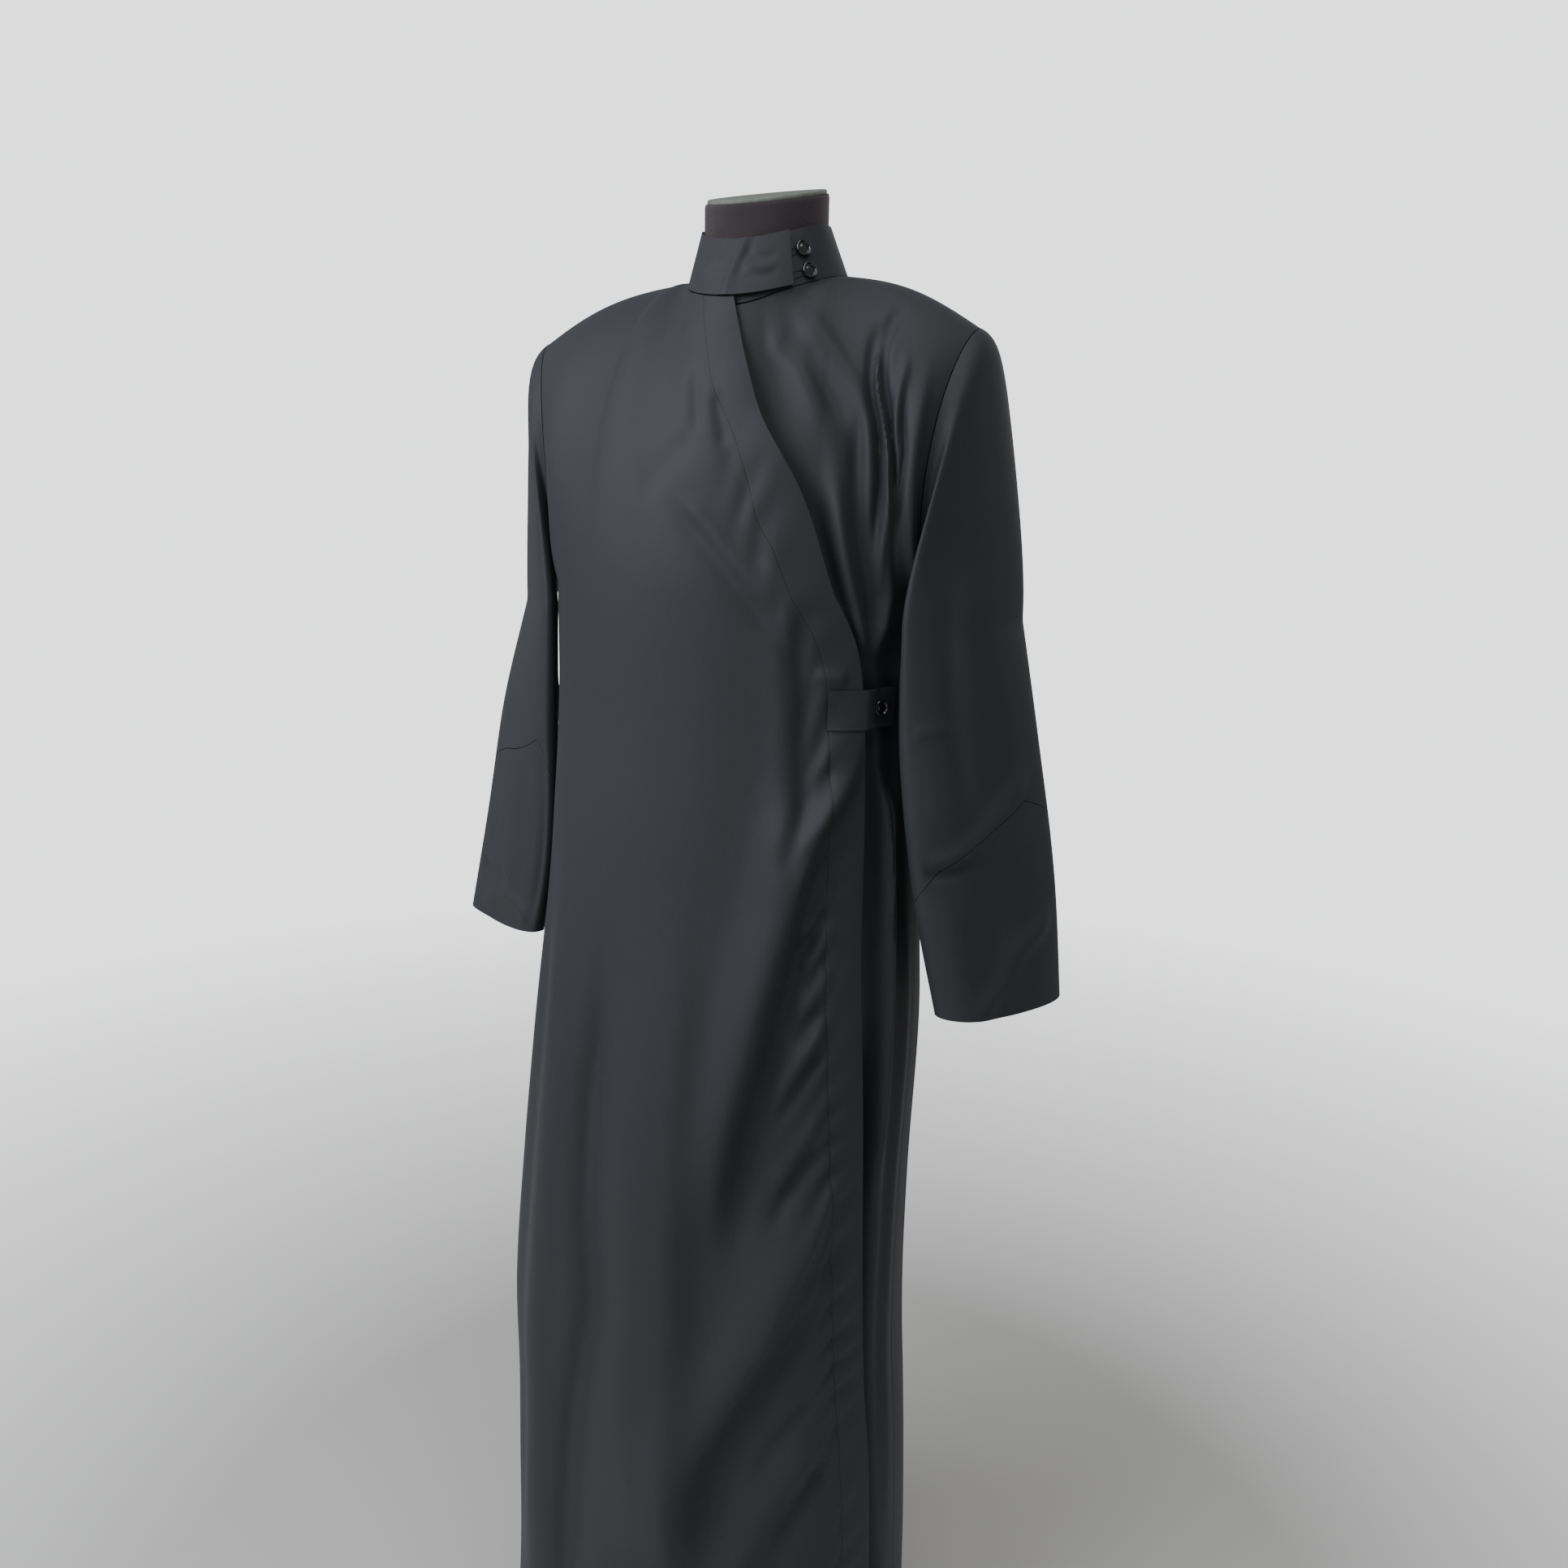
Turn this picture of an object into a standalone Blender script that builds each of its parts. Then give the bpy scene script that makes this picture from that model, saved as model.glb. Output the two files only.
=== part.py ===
"""Wrap cassock standing on a limbless dress form.

Metres, +Z up. The front faces -Y and the wearer's left is +X. The origin is the middle of the
stand's base, on the floor. Each cloth piece is a grid bent round a table of body sections and
doubled into an outer and an inner face one wall apart. The form inside them is a closed loft of
the same sections, drawn in.
"""
import math
from collections import namedtuple

import bmesh
import bpy
from mathutils import Vector

for old in list(bpy.data.objects):
    bpy.data.objects.remove(old, do_unlink=True)

# ---------------------------------------------------------------- cloth and seams
CLOTH = 0.0016               # one wall of suiting
BAND_CLOTH = 0.0024          # doubled edge bands and the waist tab
COLLAR_CLOTH = 0.0022        # interlined stand collar
SEAM_GAP = 0.0003            # between two pieces that are sewn together
QUARTER_GIRTH = 0.30         # cloth from the front's middle round to a side seam
SEAM_SHARE = 0.8 * SEAM_GAP / QUARTER_GIRTH

# ---------------------------------------------------------------- how the two fronts overlap
OVERLAP_LIFT = 0.0050        # right front's outer face above the left front's
UNDER_SINK = 0.0015          # how far the covered part of the left front lies back
LEAST_OVERLAP = CLOTH + 0.0012
NECK_LIFT = 0.0014           # the overlap at the neckline, where the collar presses the fronts
EDGE_CURL = 0.006            # the free edge stands off the chest
# Ramps: where each begins along its own measure, and how far it runs. Widths are shares of the
# way across a front, and heights are levels.
Ramp = namedtuple("Ramp", "start run")
LIFT_FROM_SIDE = Ramp(-0.98, 0.50)
NECK_LIFT_ROUND = Ramp(-0.66, 0.55)
FOLDS_FROM_SIDE = Ramp(-1.0, 0.15)
NECK_RUN = 0.09              # below the neckline, where the overlap is pressed flat
CURL_REACH = 0.12            # back from the free edge
CURL_BEGINS = Ramp(1.38, 0.08)
CURL_ENDS = Ramp(-1.575, 0.06)
COVER_REACH = 0.08           # past the free edge, where the left front still lies back
BACKED_FROM, BACKED_RUN = -0.10, 0.06
SEAM_HOLD = 0.12             # folds fade out before a side seam
TOP_HOLD = 0.055             # and below the shoulder seam

# ---------------------------------------------------------------- heights of the garment
HEM_HEIGHT = 0.050
ARMPIT_HEIGHT = 1.355
UPPER_RUN = 0.240            # cloth from the armpit level up to the shoulder seam
TOP_LEVEL = ARMPIT_HEIGHT + UPPER_RUN

# ---------------------------------------------------------------- shoulders, neckline, armholes
SHOULDER_CENTRE_X = -0.004
SHOULDER_HALF = 0.232        # from the centre to the armhole's top
SHOULDER_HEIGHT = 1.601
SHOULDER_Y = 0.015
SHOULDER_CROWN = 0.011       # rise of the shoulder seam above a straight line
SHOULDER_BLEND = Ramp(0.12, 0.26)     # from the straight neck part out to the round shoulder
ARMHOLE_BLEND = Ramp(0.40, 0.60)      # out to where the panel's edge is the armhole
FRONT_RISE_POWER = 1.7       # how late the chest leans back to the neckline
NECK_CENTRE_X = 0.015        # the form leans a little to the wearer's left
NECK_SHARE = 0.40            # share of a panel's top edge that is neckline
NECK_HALF_WIDTH = 0.078
NECK_FRONT_DEPTH = 0.085
NECK_BACK_DEPTH = 0.066
NECK_SIDE_HEIGHT = 1.653
NECK_FRONT_HEIGHT = 1.622
NECK_BACK_HEIGHT = 1.662
ARMHOLE_SPAN = 0.066         # armhole's reach forward and back of the shoulder tip
ARMHOLE_DIP = 0.012          # how far its front and back curves cut in toward the chest

FRONT, BACK = -1, 1
RIGHT, LEFT = -1, 1

# The body's round at each height. Square is the power of its outline: 2 is an ellipse, and a
# larger number is a flatter front and back with tighter sides.
Section = namedtuple("Section", "height centre_x half_width front_depth back_depth square")
SECTIONS = [
    Section(0.00, -0.037, 0.243, 0.180, 0.198, 2.40),
    Section(0.20, -0.035, 0.236, 0.176, 0.193, 2.40),
    Section(0.40, -0.036, 0.231, 0.171, 0.186, 2.36),
    Section(0.52, -0.041, 0.228, 0.167, 0.180, 2.32),
    Section(0.70, -0.034, 0.221, 0.160, 0.171, 2.26),
    Section(0.90, -0.020, 0.214, 0.151, 0.162, 2.20),
    Section(1.10, -0.013, 0.204, 0.139, 0.147, 2.10),
    Section(1.23, -0.010, 0.200, 0.131, 0.136, 2.03),
    Section(ARMPIT_HEIGHT, -0.006, 0.203, 0.132, 0.134, 2.00),
]

# The right front's free edge: how far across the front it lies, where 0 is the middle of the
# body and 1 the wearer's left side, at each level of cloth above the floor.
EdgeRow = namedtuple("EdgeRow", "level across")
OVER_EDGE = [
    EdgeRow(0.00, 0.770),
    EdgeRow(0.45, 0.768),
    EdgeRow(0.70, 0.715),
    EdgeRow(0.95, 0.628),
    EdgeRow(1.25, 0.594),
    EdgeRow(1.31, 0.547),
    EdgeRow(1.38, 0.400),
    EdgeRow(1.43, 0.280),
    EdgeRow(1.50, 0.158),
    EdgeRow(TOP_LEVEL, 0.012),
]
# The left front's covered edge, under the right front.
UNDER_EDGE = [
    EdgeRow(0.00, -0.30),
    EdgeRow(0.90, -0.30),
    EdgeRow(ARMPIT_HEIGHT, -0.16),
    EdgeRow(TOP_LEVEL, -0.09),
]
BAND_TOP_WIDTH = 0.031       # across the diagonal band, at the neck
BAND_HEM_WIDTH = 0.041       # across the upright band, at the hem
TAB_HEIGHT = 0.038
TAB_LEVEL = 1.248            # the middle of the waist tab
TAB_END_ACROSS = 0.765
TAB_COMES_DOWN = Ramp(0.02, 0.12)     # past the free edge, from the band to the left front
BAND_JOIN_LEVEL = 1.255      # where the diagonal band meets the upright one

# Where the rows of every body panel's grid lie, so that rows of neighbours meet at their seams.
LevelKnot = namedtuple("LevelKnot", "row level")
LEVEL_KNOTS = [
    LevelKnot(0, HEM_HEIGHT),
    LevelKnot(16, TAB_LEVEL - TAB_HEIGHT),
    LevelKnot(17, BAND_JOIN_LEVEL),
    LevelKnot(19, ARMPIT_HEIGHT),
    LevelKnot(31, TOP_LEVEL - SEAM_GAP),
]
JOIN_ROW = LEVEL_KNOTS[2].row
ARMPIT_ROW = LEVEL_KNOTS[3].row
BODY_ROWS = LEVEL_KNOTS[-1].row

# Soft folds of a panel: a line through three places, its half width and how far it stands out.
Fold = namedtuple("Fold", "low_level low_across mid_across high_level high_across half_width depth")
OVER_FOLDS = [
    Fold(0.86, 0.22, 0.33, 1.20, 0.54, 0.026, 0.007),
    Fold(0.62, 0.14, 0.28, 1.13, 0.46, 0.030, -0.006),
    Fold(0.30, 0.06, 0.26, 0.80, 0.52, 0.034, -0.006),
    Fold(-0.40, -0.16, -0.10, 0.86, 0.20, 0.040, 0.008),
    Fold(1.24, 0.46, 0.16, 1.47, -0.12, 0.030, 0.004),
    Fold(-0.40, -0.60, -0.56, 0.98, -0.52, 0.045, 0.006),
]
UNDER_FOLDS = [
    Fold(1.34, 0.60, 0.55, 1.585, 0.18, 0.016, 0.008),
    Fold(1.30, 0.66, 0.55, 1.53, 0.60, 0.014, -0.008),
    Fold(1.29, 0.67, 0.70, 1.53, 0.68, 0.016, 0.009),
    Fold(-0.40, 0.83, 0.80, 1.18, 0.70, 0.018, 0.008),
]
BACK_FOLDS = [
    Fold(-0.40, -0.60, -0.55, 1.25, -0.42, 0.034, 0.010),
    Fold(-0.40, -0.28, -0.26, 1.05, -0.20, 0.036, -0.009),
    Fold(-0.40, 0.04, 0.03, 1.30, 0.02, 0.034, 0.011),
    Fold(-0.40, 0.34, 0.30, 1.10, 0.24, 0.036, -0.009),
    Fold(-0.40, 0.66, 0.60, 1.22, 0.46, 0.034, 0.010),
    Fold(1.10, -0.22, -0.30, 1.50, -0.45, 0.030, -0.005),
    Fold(1.10, 0.24, 0.30, 1.50, 0.46, 0.030, -0.005),
]

# A sleeve's flat round at each height: how far out of the body's middle and how far back its
# middle lies, half its length and width, and how far its length is turned from the side.
SleeveRow = namedtuple("SleeveRow", "height out_x y half_long half_short turn")
SLEEVE_ROWS = {
    LEFT: [
        SleeveRow(1.325, 0.235, 0.012, 0.104, 0.017, 70.0),
        SleeveRow(1.200, 0.253, 0.008, 0.102, 0.026, 63.0),
        SleeveRow(1.060, 0.281, -0.002, 0.098, 0.030, 60.0),
        SleeveRow(0.930, 0.309, -0.011, 0.087, 0.031, 62.0),
    ],
    RIGHT: [
        SleeveRow(1.325, 0.2460, 0.026, 0.104, 0.018, 71.0),
        SleeveRow(1.200, 0.2714, 0.024, 0.100, 0.026, 56.0),
        SleeveRow(1.060, 0.2886, 0.020, 0.098, 0.028, 45.0),
        SleeveRow(0.930, 0.3041, 0.016, 0.088, 0.029, 38.0),
    ],
}
SLEEVE_SIDES = 24
SLEEVE_SEAT = 0.0008         # between the armhole's edge and the sleeve head
CAP_BASE = SLEEVE_ROWS[LEFT][0].height
CAP_SHARE = 0.55             # share of the upper sleeve's grid that is its head
CAP_ROLL = 0.100             # how squarely the sleeve head turns down from the armhole
CAP_FALL = 2.2               # how steeply it then comes down
PIT_ROLL = 0.030             # the same turn at the armpit
CUFF_HEIGHT = 0.946
CUFF_TILT = 0.007            # the cuff's front edge is this much above its middle
CHEVRON_APEX = {LEFT: 1.156, RIGHT: 1.180}     # the peaked seam below the elbow
CHEVRON_DROP = 0.085
CHEVRON_TURN = {LEFT: 60.0, RIGHT: 174.0}

COLLAR_TOP_HALF_WIDTH = 0.0625
COLLAR_TOP_DEPTH = 0.0640
COLLAR_FRONT_HEIGHT = 0.052
COLLAR_SIDE_HEIGHT = 0.044
COLLAR_BACK_HEIGHT = 0.046
COLLAR_START = -8.0          # degrees round the neck from the middle front to the under end
COLLAR_FLAP = 41.0           # degrees past the middle front to the flap's end
COLLAR_SEAT = 0.0006         # between the neckline's edge and the collar
COLLAR_LAP = 0.0034          # outer face of the collar's flap above the layer under it
LAP_START, LAP_RUN = 300.0, 45.0

BUTTON_RADIUS = 0.0080
BUTTON_RIM = 0.0040
BUTTON_DISH = 0.0026
CollarButton = namedtuple("CollarButton", "name degrees rise")
COLLAR_BUTTONS = [
    CollarButton("collar_button_upper", 51.5, 0.62),
    CollarButton("collar_button_lower", 53.5, 0.20),
]
COLLAR_BUTTON_TILT = 0.24
TAB_BUTTON_SHARE = 0.74      # share of the tab's length

# ---------------------------------------------------------------- dress form and stand
FORM_BOTTOM = 0.845
FORM_COLUMNS = 14
FORM_NECK_INSET = 0.008
FORM_NECK_RADIUS = 0.0588
FORM_NECK_DEPTH = 0.06       # how far the neck's cylinder reaches down into the torso
FORM_NECK_FRONT_TOP = 1.7075
FORM_NECK_SLANT = 16.0
FORM_CAP_THICKNESS = 0.004
# How far the form lies inside the garment's round, and where its own middle is.
FormRow = namedtuple("FormRow", "height inset centre_x")
FORM_ROWS = [
    FormRow(FORM_BOTTOM, 0.052, 0.0),
    FormRow(0.92, 0.034, 0.0),
    FormRow(1.10, 0.036, 0.0),
    FormRow(1.20, 0.030, -0.002),
    FormRow(ARMPIT_HEIGHT, 0.016, -0.006),
]
FORM_SHOULDER_INSET = CLOTH + 0.0007
FORM_SHOULDER_ACROSS = Ramp(0.42, 0.18)
FORM_SHOULDER_RISE = Ramp(0.35, 0.60)
POLE_RADIUS = 0.015
SOCKET_RADIUS = 0.028
SOCKET_LENGTH = 0.045
BASE_RADIUS = 0.160
BASE_THICKNESS = 0.014


WELD = 0.00002
STEP = 0.004                 # a short step along a sheet, for its slopes


# ---------------------------------------------------------------- helpers
def smooth(value):
    value = min(1.0, max(0.0, value))
    return value * value * (3.0 - 2.0 * value)


def ramp(value, kind):
    return smooth((value - kind.start) / kind.run)


def read(table, key, column):
    """Smooth value of one named column of a table at a place along its first column."""
    rows = table if table[0][0] < table[-1][0] else table[::-1]
    keys = [row[0] for row in rows]
    values = [getattr(row, column) for row in rows]
    key = min(keys[-1], max(keys[0], key))
    low = max(i for i in range(len(keys) - 1) if keys[i] <= key)
    slopes = [(values[i + 1] - values[i]) / (keys[i + 1] - keys[i]) for i in range(len(keys) - 1)]
    span = keys[low + 1] - keys[low]
    share = (key - keys[low]) / span
    start = slopes[low] if low == 0 else 0.5 * (slopes[low - 1] + slopes[low])
    end = slopes[low] if low == len(slopes) - 1 else 0.5 * (slopes[low] + slopes[low + 1])
    rise = values[low + 1] - values[low]
    bend = 3.0 * rise - span * (2.0 * start + end)
    twist = span * (start + end) - 2.0 * rise
    return values[low] + share * (span * start + share * (bend + share * twist))


def principled(name, colour, roughness, metallic=0.0):
    material = bpy.data.materials.new(name)
    material.use_nodes = True
    shader = material.node_tree.nodes["Principled BSDF"]
    shader.inputs["Base Color"].default_value = (*colour, 1.0)
    shader.inputs["Roughness"].default_value = roughness
    shader.inputs["Metallic"].default_value = metallic
    return material


def add_object(name, mesh, material, collection):
    thing = bpy.data.objects.new(name, mesh)
    mesh.materials.append(material)
    collection.objects.link(thing)
    return thing


def grid_mesh(name, place, columns, rows):
    """A grid whose corners are put where place(column share, row share) says."""
    work = bmesh.new()
    bmesh.ops.create_grid(work, x_segments=columns, y_segments=rows, size=1.0)
    for vertex in work.verts:
        vertex.co = place((vertex.co.x + 1.0) / 2.0, (vertex.co.y + 1.0) / 2.0)
    bmesh.ops.remove_doubles(work, verts=work.verts, dist=WELD)
    mesh = bpy.data.meshes.new(name)
    work.to_mesh(mesh)
    work.free()
    return mesh


def facing(place, column, row, closed):
    """The direction that a bent sheet faces at one place, from two short steps along it."""
    low, high = (column - STEP, column + STEP)
    if not closed:
        low, high = max(0.0, low), min(1.0, high)
    along = place(high, row) - place(low, row)
    upward = place(column, min(1.0, row + STEP)) - place(column, max(0.0, row - STEP))
    return along.cross(upward).normalized()


def sheet(name, place, columns, rows, thickness, material, closed=False, side=1.0, way=None):
    """A cloth piece: a grid doubled into two faces a wall apart, the outer one on the surface.

    The inner face is set back square to the true surface, so that the rims of two pieces that
    meet at a seam stay parallel. side is -1 where the grid runs the other way round, and way
    gives the outward direction where the grid's own steps don't.
    """
    def outside(column, row):
        return way(column, row) if way else facing(place, column, row, closed) * side

    work = bmesh.new()
    bmesh.ops.create_grid(work, x_segments=columns, y_segments=rows, size=1.0)
    doubled = bmesh.ops.extrude_face_region(work, geom=work.faces[:], use_keep_orig=True)
    inner = {item for item in doubled["geom"] if isinstance(item, bmesh.types.BMVert)}
    if closed:
        joins = [face for face in work.faces
                 if all(abs(vertex.co.x) > 1.0 - WELD for vertex in face.verts)]
        bmesh.ops.delete(work, geom=joins, context="FACES")
    for vertex in work.verts:
        column, row = (vertex.co.x + 1.0) / 2.0, (vertex.co.y + 1.0) / 2.0
        point = place(column, row)
        if vertex in inner:
            point = point - outside(column, row) * thickness
        vertex.co = point
    if closed:
        bmesh.ops.remove_doubles(work, verts=work.verts, dist=WELD)
    bmesh.ops.recalc_face_normals(work, faces=work.faces)
    mesh = bpy.data.meshes.new(name)
    work.to_mesh(mesh)
    work.free()
    mesh.shade_smooth()
    mesh.set_sharp_from_angle(angle=math.radians(40.0))
    return add_object(name, mesh, material, garment)


# ---------------------------------------------------------------- the body the cloth hangs round
def section_point(side, across, height, inset=0.0):
    """A point of the body's round at one height; across runs from -1 to 1, side to side."""
    turn = abs(across) * math.pi / 2.0
    power = 2.0 / read(SECTIONS, height, "square")
    half_width = read(SECTIONS, height, "half_width") - inset
    depth = read(SECTIONS, height, "front_depth" if side == FRONT else "back_depth") - inset
    out = math.copysign(half_width * math.sin(turn) ** power, across)
    return Vector((read(SECTIONS, height, "centre_x") + out,
                   side * depth * max(0.0, math.cos(turn)) ** power, height))


def shoulder_tip(flank, inset=0.0):
    return Vector((SHOULDER_CENTRE_X + flank * (SHOULDER_HALF - inset), SHOULDER_Y,
                   SHOULDER_HEIGHT - inset))


def top_point(side, across, inset=0.0):
    """The panel's top edge: the shoulder seam outside NECK_SHARE and the neckline within it."""
    flank = LEFT if across > 0 else RIGHT
    neck_side = Vector((NECK_CENTRE_X + flank * (NECK_HALF_WIDTH - inset), SHOULDER_Y,
                        NECK_SIDE_HEIGHT - inset))
    reach = abs(across)
    if reach >= NECK_SHARE:
        share = (reach - NECK_SHARE) / (1.0 - NECK_SHARE)
        point = neck_side.lerp(shoulder_tip(flank, inset), share)
        point.z += SHOULDER_CROWN * math.sin(math.pi * share)
        return point
    turn = reach / NECK_SHARE * math.pi / 2.0
    depth = (NECK_FRONT_DEPTH if side == FRONT else NECK_BACK_DEPTH) - inset
    middle = (NECK_FRONT_HEIGHT if side == FRONT else NECK_BACK_HEIGHT) - inset
    return Vector((NECK_CENTRE_X + flank * (NECK_HALF_WIDTH - inset) * math.sin(turn),
                   SHOULDER_Y + (side * depth - SHOULDER_Y) * math.cos(turn),
                   neck_side.z + (middle - neck_side.z) * math.cos(turn) ** 1.5))


def armhole_point(flank, turn, inset=0.0):
    """The armhole's loop: turn 90 is the shoulder tip, 270 the armpit, 180 front, 0 back."""
    pit = section_point(FRONT, flank, ARMPIT_HEIGHT, inset)
    angle = math.radians(turn)
    point = pit.lerp(shoulder_tip(flank, inset), 0.5 + 0.5 * math.sin(angle))
    point.y += (ARMHOLE_SPAN - inset) * math.cos(angle)
    point.x -= flank * ARMHOLE_DIP * abs(math.cos(angle)) ** 1.5
    return point


def risen(low, high, out_share, up_share):
    return Vector((low.x + (high.x - low.x) * out_share, low.y + (high.y - low.y) * out_share,
                   low.z + (high.z - low.z) * up_share))


def body_point(side, across, level, inset=0.0):
    """The garment's surface. Above the armpit it rises to the shoulder seam and neckline."""
    if level <= ARMPIT_HEIGHT:
        return section_point(side, across, level, inset)
    rise = (level - ARMPIT_HEIGHT) / UPPER_RUN
    round_out = 1.0 - math.cos(rise * math.pi / 2.0)
    round_up = math.sin(rise * math.pi / 2.0)
    shoulder = ramp(abs(across), SHOULDER_BLEND)
    point = risen(section_point(side, across, ARMPIT_HEIGHT, inset), top_point(side, across, inset),
                  round_out * shoulder + rise ** FRONT_RISE_POWER * (1.0 - shoulder),
                  round_up * shoulder + rise * (1.0 - shoulder))
    hold = ramp(abs(across), ARMHOLE_BLEND)
    if hold > 0.0:
        flank = LEFT if across > 0 else RIGHT
        plain = risen(section_point(side, flank, ARMPIT_HEIGHT, inset),
                      shoulder_tip(flank, inset), round_out, round_up)
        turn = 270.0 - 180.0 * rise if side == FRONT else 180.0 * rise - 90.0
        point += (armhole_point(flank, turn, inset) - plain) * hold
    return point


def outward(side, across, level):
    """The surface's outward direction."""
    step = 0.01
    left = body_point(side, min(1.0, across + step), level)
    right = body_point(side, max(-1.0, across - step), level)
    above = body_point(side, across, min(TOP_LEVEL, level + step))
    below = body_point(side, across, max(0.0, level - step))
    return (left - right).cross(above - below).normalized() * -side


def surface_point(side, across, level, lift):
    return body_point(side, across, level) + outward(side, across, level) * lift


def fold_lift(folds, across, level):
    """How far the folds of a panel stand out at one place."""
    total = 0.0
    for fold in folds:
        share = (level - fold.low_level) / (fold.high_level - fold.low_level)
        if not 0.0 < share < 1.0:
            continue
        line = (fold.low_across * (1.0 - share) * (1.0 - 2.0 * share)
                + fold.mid_across * 4.0 * share * (1.0 - share)
                + fold.high_across * share * (2.0 * share - 1.0))
        slant = ((fold.high_across - fold.low_across) * QUARTER_GIRTH
                 / (fold.high_level - fold.low_level))
        distance = (across - line) * QUARTER_GIRTH / math.hypot(1.0, slant)
        fade = smooth(share / 0.3) * smooth((1.0 - share) / 0.3)
        total += fold.depth * fade * math.exp(-(distance / fold.half_width) ** 2)
    return total


# ---------------------------------------------------------------- how the fronts lie
def over_edge(level):
    return read(OVER_EDGE, level, "across")


def band_share(level):
    """The band's width, measured level, as a share of the way across the front."""
    edge = over_edge(level)
    rate = (body_point(FRONT, edge + STEP, level) - body_point(FRONT, edge - STEP, level)).length
    rate /= 2.0 * STEP
    slant = (over_edge(level + STEP) - over_edge(level - STEP)) / (2.0 * STEP) * rate
    width = BAND_HEM_WIDTH + (BAND_TOP_WIDTH - BAND_HEM_WIDTH) * level / TOP_LEVEL
    return width * math.hypot(1.0, slant) / rate


def under_edge(level):
    return read(UNDER_EDGE, level, "across")


def over_point(across, level):
    """The right front: it springs from its side seam to lie over the left front."""
    near_neck = smooth((level - TOP_LEVEL + NECK_RUN) / NECK_RUN)
    lift = OVERLAP_LIFT * ramp(across, LIFT_FROM_SIDE) * (1.0 - near_neck)
    lift += NECK_LIFT * ramp(across / NECK_SHARE, NECK_LIFT_ROUND) * near_neck
    folds_held = ramp(across, FOLDS_FROM_SIDE) * (1.0 - near_neck)
    lift += fold_lift(OVER_FOLDS, across, level) * folds_held
    curl = smooth((across - over_edge(level) + CURL_REACH) / CURL_REACH)
    lift += EDGE_CURL * curl * ramp(level, CURL_BEGINS) * ramp(-level, CURL_ENDS)
    backed = smooth((across - under_edge(level) - BACKED_FROM) / BACKED_RUN)
    return surface_point(FRONT, across, level, max(lift, backed * LEAST_OVERLAP))


def under_point(across, level):
    """The left front: it lies back where the right front covers it."""
    covered = smooth((over_edge(level) + COVER_REACH - across) / COVER_REACH)
    seam_held = smooth((1.0 - across) / SEAM_HOLD) * smooth((TOP_LEVEL - level) / TOP_HOLD)
    lift = fold_lift(UNDER_FOLDS, across, level) * (1.0 - covered) * seam_held
    return surface_point(FRONT, across, level, lift - UNDER_SINK * covered)


def back_point(across, level):
    seam_held = smooth((1.0 - abs(across)) / SEAM_HOLD) * smooth((TOP_LEVEL - level) / TOP_HOLD)
    return surface_point(BACK, across, level, fold_lift(BACK_FOLDS, across, level) * seam_held)


def row_level(row):
    """The level of one row of every body panel; rows lie closer above the armpit."""
    for low, high in zip(LEVEL_KNOTS, LEVEL_KNOTS[1:]):
        if row <= high.row:
            share = (row - low.row) / (high.row - low.row)
            return low.level + (high.level - low.level) * share
    return LEVEL_KNOTS[-1].level


# ---------------------------------------------------------------- cloth panels
def build_front_right(material):
    def place(column, row):
        level = row_level(BODY_ROWS * row)
        seam = over_edge(level) - band_share(level) - SEAM_SHARE
        start = SEAM_SHARE - 1.0
        return over_point(start + (seam - start) * column, level)

    sheet("front_right", place, 16, BODY_ROWS, CLOTH, material)


def build_band(name, first_row, last_row, gap_below, material):
    def place(column, row):
        level = row_level(first_row + (last_row - first_row) * row)
        level = max(level, row_level(first_row) + gap_below)
        edge = over_edge(level)
        return over_point(edge - band_share(level) * (1.0 - column), level)

    sheet(name, place, 3, last_row - first_row, BAND_CLOTH, material)


def build_front_left(material):
    def place(column, row):
        level = row_level(BODY_ROWS * row)
        start = under_edge(level)
        return under_point(start + (1.0 - SEAM_SHARE - start) * column, level)

    sheet("front_left", place, 17, BODY_ROWS, CLOTH, material)


def build_back(material):
    def place(column, row):
        return back_point((1.0 - SEAM_SHARE) * (2.0 * column - 1.0), row_level(BODY_ROWS * row))

    sheet("back", place, 22, BODY_ROWS, CLOTH, material, side=-1.0)


def sleeve_ring_point(flank, turn, height):
    rows = SLEEVE_ROWS[flank]
    angle = math.radians(turn)
    lay = math.radians(read(rows, height, "turn"))
    centre = Vector((read(SECTIONS, height, "centre_x") + flank * read(rows, height, "out_x"),
                     read(rows, height, "y"), height))
    long_way = Vector((flank * math.cos(lay), math.sin(lay), 0.0))
    short_way = Vector((flank * math.sin(lay), -math.cos(lay), 0.0))
    return (centre + long_way * read(rows, height, "half_long") * math.cos(angle)
            + short_way * read(rows, height, "half_short") * math.sin(angle))


def sleeve_ring_facing(flank, turn, height):
    along = sleeve_ring_point(flank, turn + 1.0, height) - sleeve_ring_point(flank, turn - 1.0, height)
    upward = (sleeve_ring_point(flank, turn, height + STEP)
              - sleeve_ring_point(flank, turn, height - STEP))
    return upward.cross(along).normalized() * flank


def sleeve_cap_point(flank, turn, share):
    """From the armhole the sleeve goes outward and then turns down."""
    start = armhole_point(flank, turn) + Vector((flank * SLEEVE_SEAT, 0.0, 0.0))
    end = sleeve_ring_point(flank, turn, CAP_BASE)
    upper = 0.5 + 0.5 * math.sin(math.radians(turn))
    roll = PIT_ROLL + (CAP_ROLL - PIT_ROLL) * upper
    start_way = Vector((flank * roll, 0.0, 0.0))
    end_way = Vector((0.0, 0.0, (CAP_BASE - start.z) * (1.0 + (CAP_FALL - 1.0) * upper)))
    square, cube = share * share, share * share * share
    return (start * (2.0 * cube - 3.0 * square + 1.0) + start_way * (cube - 2.0 * square + share)
            + end * (3.0 * square - 2.0 * cube) + end_way * (cube - square))


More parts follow.
